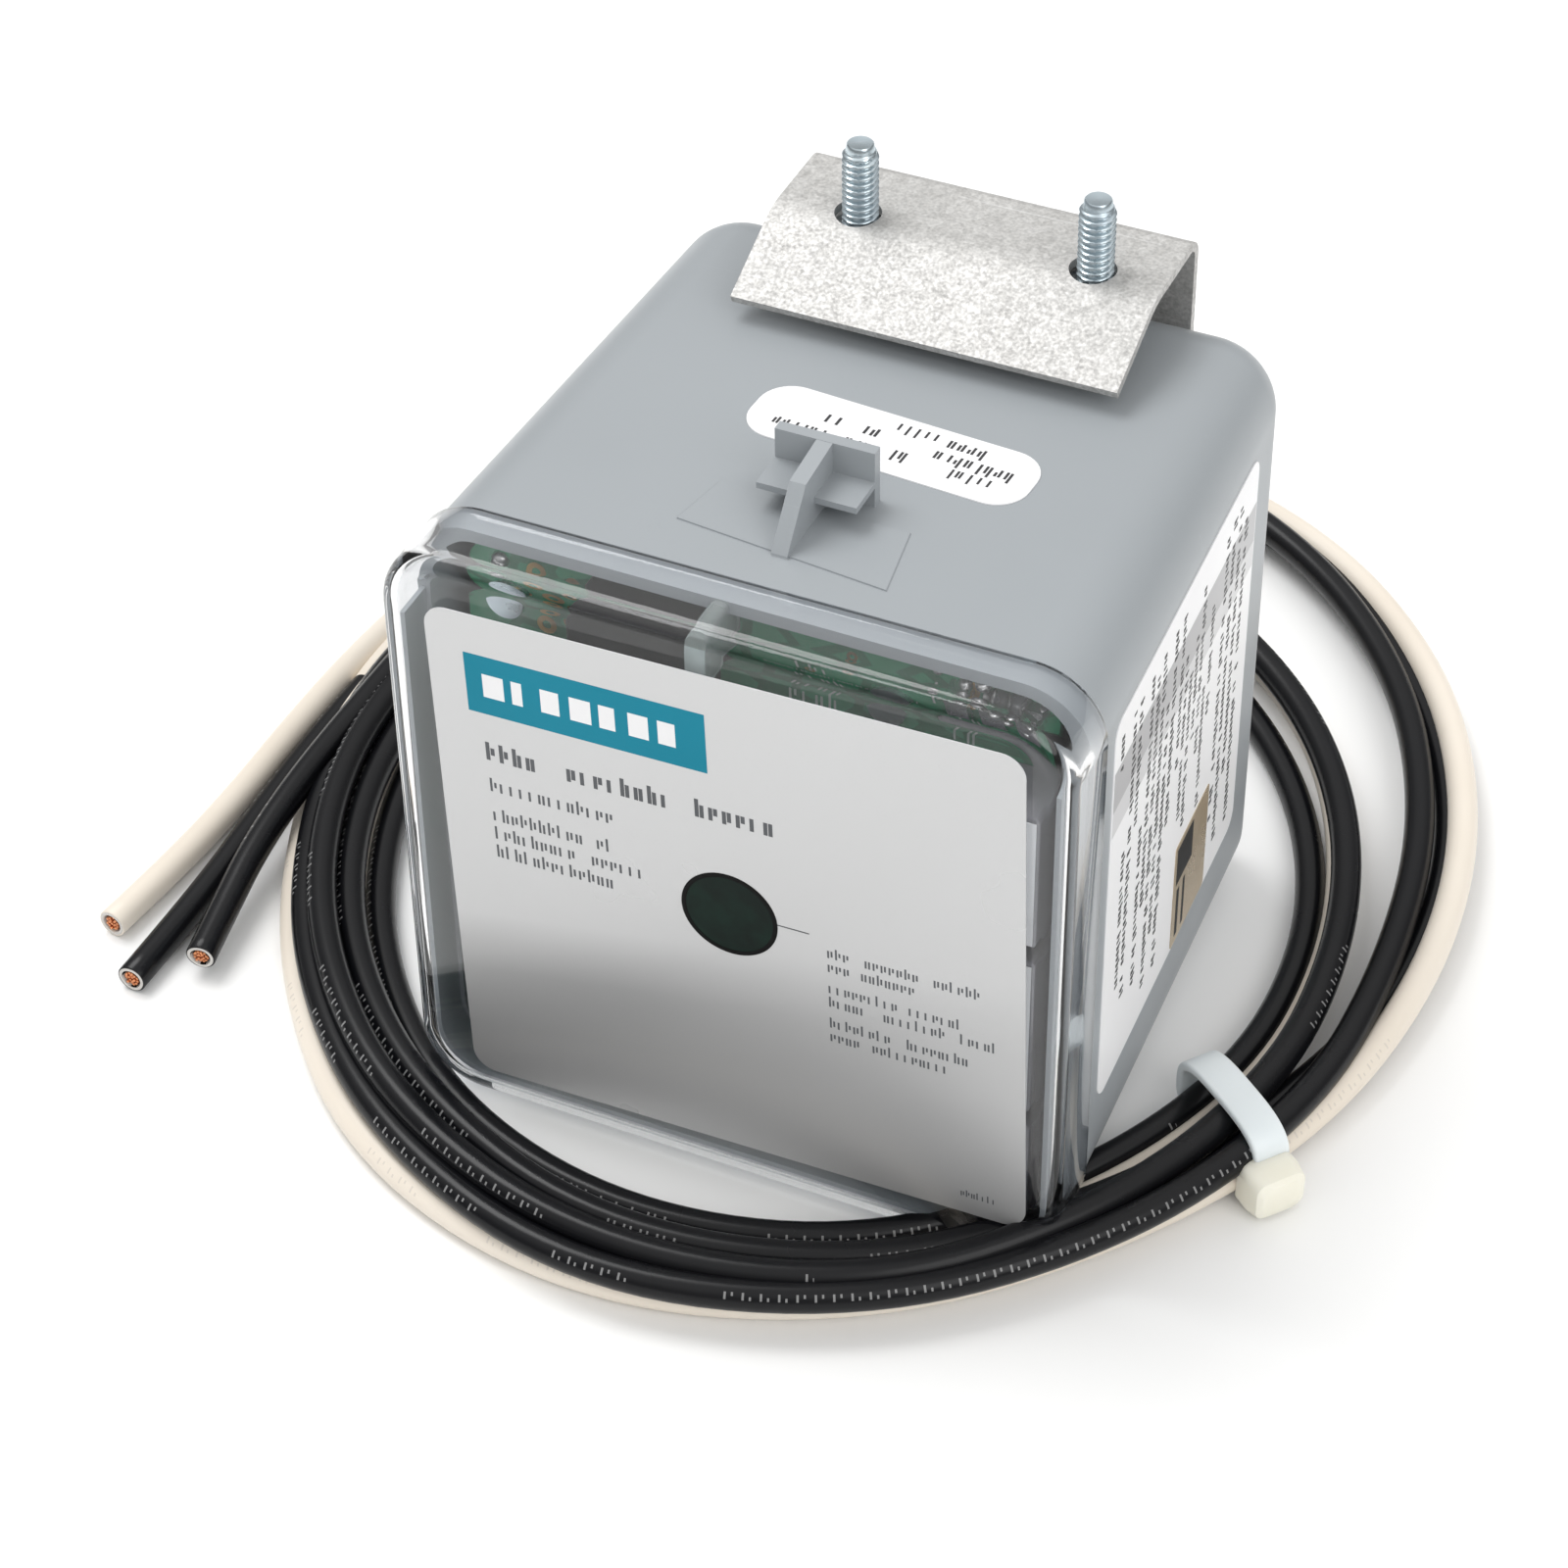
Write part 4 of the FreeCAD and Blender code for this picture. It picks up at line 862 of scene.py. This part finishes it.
window_face = Face((1.7, FRONT, 53.0), (1, 0, 0), (0, 0, 1))
circle = np.stack([np.cos(np.arange(64) * math.pi / 32), np.sin(np.arange(64) * math.pi / 32)], axis=1)
ring_rings = [window_face.at(np.column_stack([circle * size, np.full(64, level)])) for size, level in
              ((7.3, 0.15), (7.3, 0.27), (7.2, 0.3), (6.7, 0.3), (6.6, 0.27), (6.6, 0.15))]
dress(skin("window_ring", ring_rings, looped=True), window_ring)
lens_rings = [window_face.at(np.column_stack([circle * size, np.full(64, level)])) for size, level in
              ((6.65, 0.1), (6.65, 0.24), (5.0, 0.25), (2.0, 0.26))]
dress(skin("window_lens", lens_rings), window_green, ["status_window"])

rating_face = Face((4.6, 49.1 + FRONT, 100.4), (-1, 0, 0), (0, -1, 0), -3.5)
dress(plate("rating_label_film", rating_face, rounded(43, 12.6, 5.0), 0.0, 0.2), label_white,
      ["rating_label"])
rating = mock_print([(-18.0, -5.0, -1.4, 2.4), (-12.5, -6.0, -4.4, 2.4), (-3.0, 1.0, 1.0, 2.4),
                     (2.6, 8.0, 1.4, 2.2),
                     (9.4, 18.0, 1.4, 2.2), (-16.0, -8.6, 1.4, 2.2), (2.8, 7.4, -2.2, 2.6),
                     (8.8, 13.4, -2.2, 2.6),
                     (-5.0, 2.5, -4.8, 2.2)], 0.64, 0.17, 0.0)
dress(strokes("rating_print", rating_face, rating, 0.18, 0.215), print_black)

DRAFT = 0.0454
side_x = 50.2 - DRAFT * (50.15 - 13.2)
side_face = Face((side_x, 50.15 + FRONT, 54.0), (-DRAFT, 1, 0), (0, 0, 1))
dress(plate("side_label_film", side_face, rounded(64.5, 69.8, 3.0), 0.0, 0.2), label_white,
      ["side_label"])
column_face = Face(side_face.origin, (0, 0, -1), (-DRAFT, 1, 0))
columns = []
for column, (low, high) in enumerate([(-31, -24), (-10, 20), (-31, 24), (-31, -6), (-6, 27), (-31, 12),
                                      (-29, 30),
                                      (-31, 22), (-20, 31), (-31, 6)]):
    columns.append((low, high, -29.5 + 2.6 * column, 1.7))
columns += [(-31 + shift, edge, -2.5 + 2.4 * row, 1.5)
            for row, (shift, edge) in enumerate([(0, -3), (9, 10), (14, 12), (9, -2), (2, 2), (22, 31),
                                                 (9, -1)])]
columns += [(-31, 24, 17.5, 1.7), (-31, 30, 20.5, 1.7), (-31, 20, 23.5, 1.7), (-27, 31, 26.5, 1.7)]
side_print = strokes("side_print", column_face, mock_print(columns, 0.64, 0.26), 0.18, 0.23)
dress(side_print, print_black)
# Two painted reflections: a grey and a paler strip across the side label stand in for the reflection of a
# dark object, and are not print
for step, (low, high, tone) in enumerate(((19.5, 26.5, reflection_band_grey), (15.0, 19.5, reflection_band_pale))):
    reflection_band = strokes(f"side_painted_reflection_band_{step}", side_face, [(-32.0, low, 32.0, high)], 0.19, 0.21)
    dress(reflection_band, tone)
foil_face = Face((50.2 - DRAFT * (59.0 - 13.2), 59.0 + FRONT, 29.5), (-DRAFT, 1, 0), (0, 0, 1))
dress(plate("foil_seal_film", foil_face, rounded(16, 20, 0.6), 0.2, 0.3), foil_gold,
      ["foil_seal"])
dress(strokes("foil_panel", foil_face, [(-7.0, 2.0, 0.5, 9.0), (-6.4, -8.6, -5.2, 0.6),
                                        (-3.4, -8.6, -2.4, 0.6)],
              0.29, 0.32), component_dark)

# ---------------------------------------------------------------- bracket and studs
dress(refined("hanger_bracket", "bracket_sheet", 0.0002, 32), galvanised,
      ["hanger_bracket"],
      body="bracket")


def threaded_stud(name, node):
    """A stud: its axis profile is a round head, then a rod whose radius rises and falls once per pitch along
    the height and slips by one pitch per turn, then a narrower flat tip."""
    low, high = (np.array(corner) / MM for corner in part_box(node))
    x, y = (low[:2] + high[:2]) / 2
    pitch, outer, core, top = 1.058, 2.7, 2.1, high[2]
    z = np.concatenate([np.arange(low[2] + 3.4, top - 1.0, pitch / 9), [top - 1.0]])
    turn = np.arange(48) * 2 * math.pi / 48
    phase = (z[:, None] / pitch - turn[None] / (2 * math.pi)) % 1.0
    ridge = np.clip(1.35 - np.abs(phase - 0.5) * 3.6, 0, 1)
    fade = np.clip((top - 0.9 - z) / 1.0, 0, 1)[:, None]
    radius = core + (outer - core) * ridge * fade
    head = [(0.6, low[2]), (4.7, low[2]), (5.0, low[2] + 0.4), (5.0, low[2] + 2.6), (4.6, low[2] + 3.0),
            (core, low[2] + 3.0)]
    tip = [(2.08, top - 0.9), (2.02, top - 0.2), (1.82, top), (0.5, top - 0.12)]
    rings = [np.full((1, 48), size) for size, _ in head] + [radius] + [np.full((1, 48), size) for size,
                                                                       _ in tip]
    heights = np.concatenate([[level for _, level in head], z, [level for _, level in tip]])
    radius = np.concatenate(rings)
    points = np.stack([x + radius * np.cos(turn), y + radius * np.sin(turn),
                       np.broadcast_to(heights[:, None], radius.shape)], axis=-1)
    return skin(name, points * MM, sharp=45)


dress(threaded_stud("stud_left_thread", "mounting_screw_left"), zinc, ["mounting_screw_left"])
dress(threaded_stud("stud_right_thread", "mounting_screw_right"), zinc,
      ["mounting_screw_right"])

# ---------------------------------------------------------------- electronics
board_face = Face((0, 14.0 + FRONT, 50.0), (1, 0, 0), (0, 0, 1))


def board_pads():
    """Plated rings on the board: for each, four circles, wide then narrow and low then high, joined in a
    loop."""
    pads = [(-33, 41, 1.5), (-30.5, 37.5, 1.7), (-31.5, 33.5, 1.5), (-27.5, 40.5, 1.1), (-35, 36.5, 1.0),
            (-28, 35, 0.9), (8, 38, 0.8), (14, 41.5, 0.8), (31, 41.5, 1.4), (35.5, 39.5, 1.4), (-38, 20, 1.2),
            (-38, 5, 1.2)]
    around, high, hole = 24, 0.06, 0.45
    turn = np.arange(around) * math.pi / 12
    rings, faces = [], []
    for index, (x, z, size) in enumerate(pads):
        for reach, level in ((size, 0.0), (size, high), (size * hole, high), (size * hole, 0.0)):
            rings.append(board_face.at(np.column_stack([x + reach * np.cos(turn), z + reach * np.sin(turn),
                                                        np.full(around, level)])))
        block = 4 * around * index + np.arange(4 * around).reshape(4, around)
        beside, after = np.roll(block, -1, axis=1), np.roll(block, -1, axis=0)
        both = np.roll(beside, -1, axis=0)
        faces += np.stack([block, beside, both, after], axis=-1).reshape(-1, 4).tolist()
    return put("board_pads", np.concatenate(rings), faces)


dress(board_pads(), gold_pad)
marks = mock_print([(6.0, 13.5, 37.6, 2.6), (5.0, 13.5, 32.6, 2.6), (26.0, 29.0, 38.6, 2.6),
                    (29.0, 33.0, 33.5, 2.6),
                    (1.0, 24.0, 36.0, 0.9), (-26.0, -6.0, 26.0, 1.4)], 0.75, 0.13, 0.0)
dress(strokes("board_legend", board_face, marks, 0.0, 0.05), print_pale)


def solder_domes():
    """Small shiny joints: each a dome whose rings shrink with the cosine and rise with the sine of one
    angle."""
    points, faces = [], []
    spots = [(33.0, 43.5, 1.3, 2.0), (35.6, 42.0, 1.5, 3.2), (38.4, 43.6, 1.4, 4.5), (40.8, 41.6, 1.2, 3.0),
             (36.5, 39.0, 1.1, 1.6), (39.6, 38.4, 1.2, 2.4), (30.4, 42.6, 1.0, 1.4), (42.0, 44.0, 1.0, 3.4),
             (-38.5, 41.5, 1.3, 1.2), (-37.0, 37.5, 1.1, 1.0), (26.5, 43.6, 0.9, 1.2)]
    lift = np.linspace(0, math.pi / 2 * 0.92, 6)
    around = np.arange(16) * math.pi / 8
    for index, (x, z, size, tall) in enumerate(spots):
        rings = np.stack([x + size * np.outer(np.cos(lift) ** 1.4, np.cos(around)),
                          z + size * np.outer(np.cos(lift) ** 1.4, np.sin(around)),
                          np.outer(np.sin(lift) * tall, np.ones(16))], axis=-1)
        points.append(rings.reshape(-1, 3))
        block = 96 * index + np.arange(96).reshape(6, 16)
        beside = np.roll(block, -1, axis=1)
        faces += np.stack([block[:-1], beside[:-1], beside[1:], block[1:]], axis=-1).reshape(-1, 4).tolist()
        faces += [block[0, ::-1].tolist(), block[-1].tolist()]
    return put("board_solder_joints", board_face.at(np.concatenate(points)), faces)


dress(solder_domes(), solder)
for node, name, finish, slot, width in (
        ("surge_module_top", "module_top_case", module_grey, "module_grey", 0.0006),
        ("surge_module_middle", "module_middle_case", module_grey, "module_grey", 0.0006),
        ("surge_module_bottom", "module_bottom_case", module_grey, "module_grey", 0.0006),
        ("thermal_cutout", "cutout_case", component_dark, "component_dark", 0.0004)):
    dress(refined(node, name, width, 40, 3), finish, [node])
for node, finish in (("circuit_board", board_green), ("board_screws", zinc),
                     ("status_light_pipe", light_guide),
                     ("status_leds", led_green), ("lead_terminals", solder), ("varistors", varistor_blue),
                     ("thermal_fuses", fuse_tan), ("filter_capacitors", film_yellow),
                     ("lead_bushing", bushing_black), ("inner_leads", bushing_black)):
    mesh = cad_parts[node].data
    mesh.materials.clear()
    mesh.materials.append(finish)

edge_lines = [(42.6, low - 49.4, 45.0, high - 50.6) for low, high in ((60.0, 83.0), (28.8, 57.3),
                                                                      (7.4, 26.1))]
edge_face = Face((0, 3.9 + FRONT, 50.0), (1, 0, 0), (0, 0, 1))
dress(strokes("module_edge_lines", edge_face, edge_lines, 0.0, 0.1), module_line)

# ---------------------------------------------------------------- stage
floor_mesh = bpy.data.meshes.new("floor")
floor_mesh.from_pydata([(-3, -3, 0), (3, -3, 0), (3, 3, 0), (-3, 3, 0)], [], [(0, 1, 2, 3)])
floor = bpy.data.objects.new("floor", floor_mesh)
bpy.context.scene.collection.objects.link(floor)
floor_mesh.materials.append(plain("floor_paper", (0.93, 0.93, 0.925), (0.915, 0.915, 0.91), 0.5, 0.6, 300.0,
                                  0.00001,
                                  3.0, 0.5, 0.0))


def soft_light(name, place, aim, size, power):
    """A white disc of light at a place, turned so that it shines towards the aim."""
    lamp = bpy.data.lights.new(name, "AREA")
    lamp.shape, lamp.size, lamp.energy = "DISK", size, power
    item = bpy.data.objects.new(name, lamp)
    item.location = place
    way = np.array(aim, float) - np.array(place, float)
    level = math.hypot(way[0], way[1])
    item.rotation_euler = (math.atan2(level, -way[2]), 0, math.atan2(way[1], way[0]) - math.pi / 2)
    bpy.context.scene.collection.objects.link(item)


soft_light("key", (-0.55, 0.15, 1.1), (0, 0, 0.05), 0.7, 7.0)
soft_light("fill", (0.9, -0.5, 0.8), (0, 0, 0.05), 0.9, 4.0)
world = bpy.data.worlds.new("studio")
world.use_nodes = True
sky = world.node_tree
behind = sky.nodes["Background"]
behind.inputs["Color"].default_value = (1.0, 0.998, 0.992, 1)
rise = make(sky, "ShaderNodeSeparateXYZ", {}, {0: sky.nodes.new("ShaderNodeTexCoord").outputs["Generated"]})
overhead = make(sky, "ShaderNodeMapRange", {"interpolation_type": "SMOOTHSTEP"},
                {"Value": rise.outputs["Z"], "From Min": 0.25, "From Max": 0.85, "To Min": 0.28,
                 "To Max": 1.05})
rays = sky.nodes.new("ShaderNodeLightPath")
strength = make(sky, "ShaderNodeMix", {"data_type": "FLOAT"}, {"Factor": rays.outputs["Is Glossy Ray"],
                                                               2: 0.85,
                                                                3: overhead.outputs["Result"]})
sky.links.new(strength.outputs[0], behind.inputs["Strength"])
bpy.context.scene.world = world
bpy.context.scene.view_settings.view_transform = "Standard"
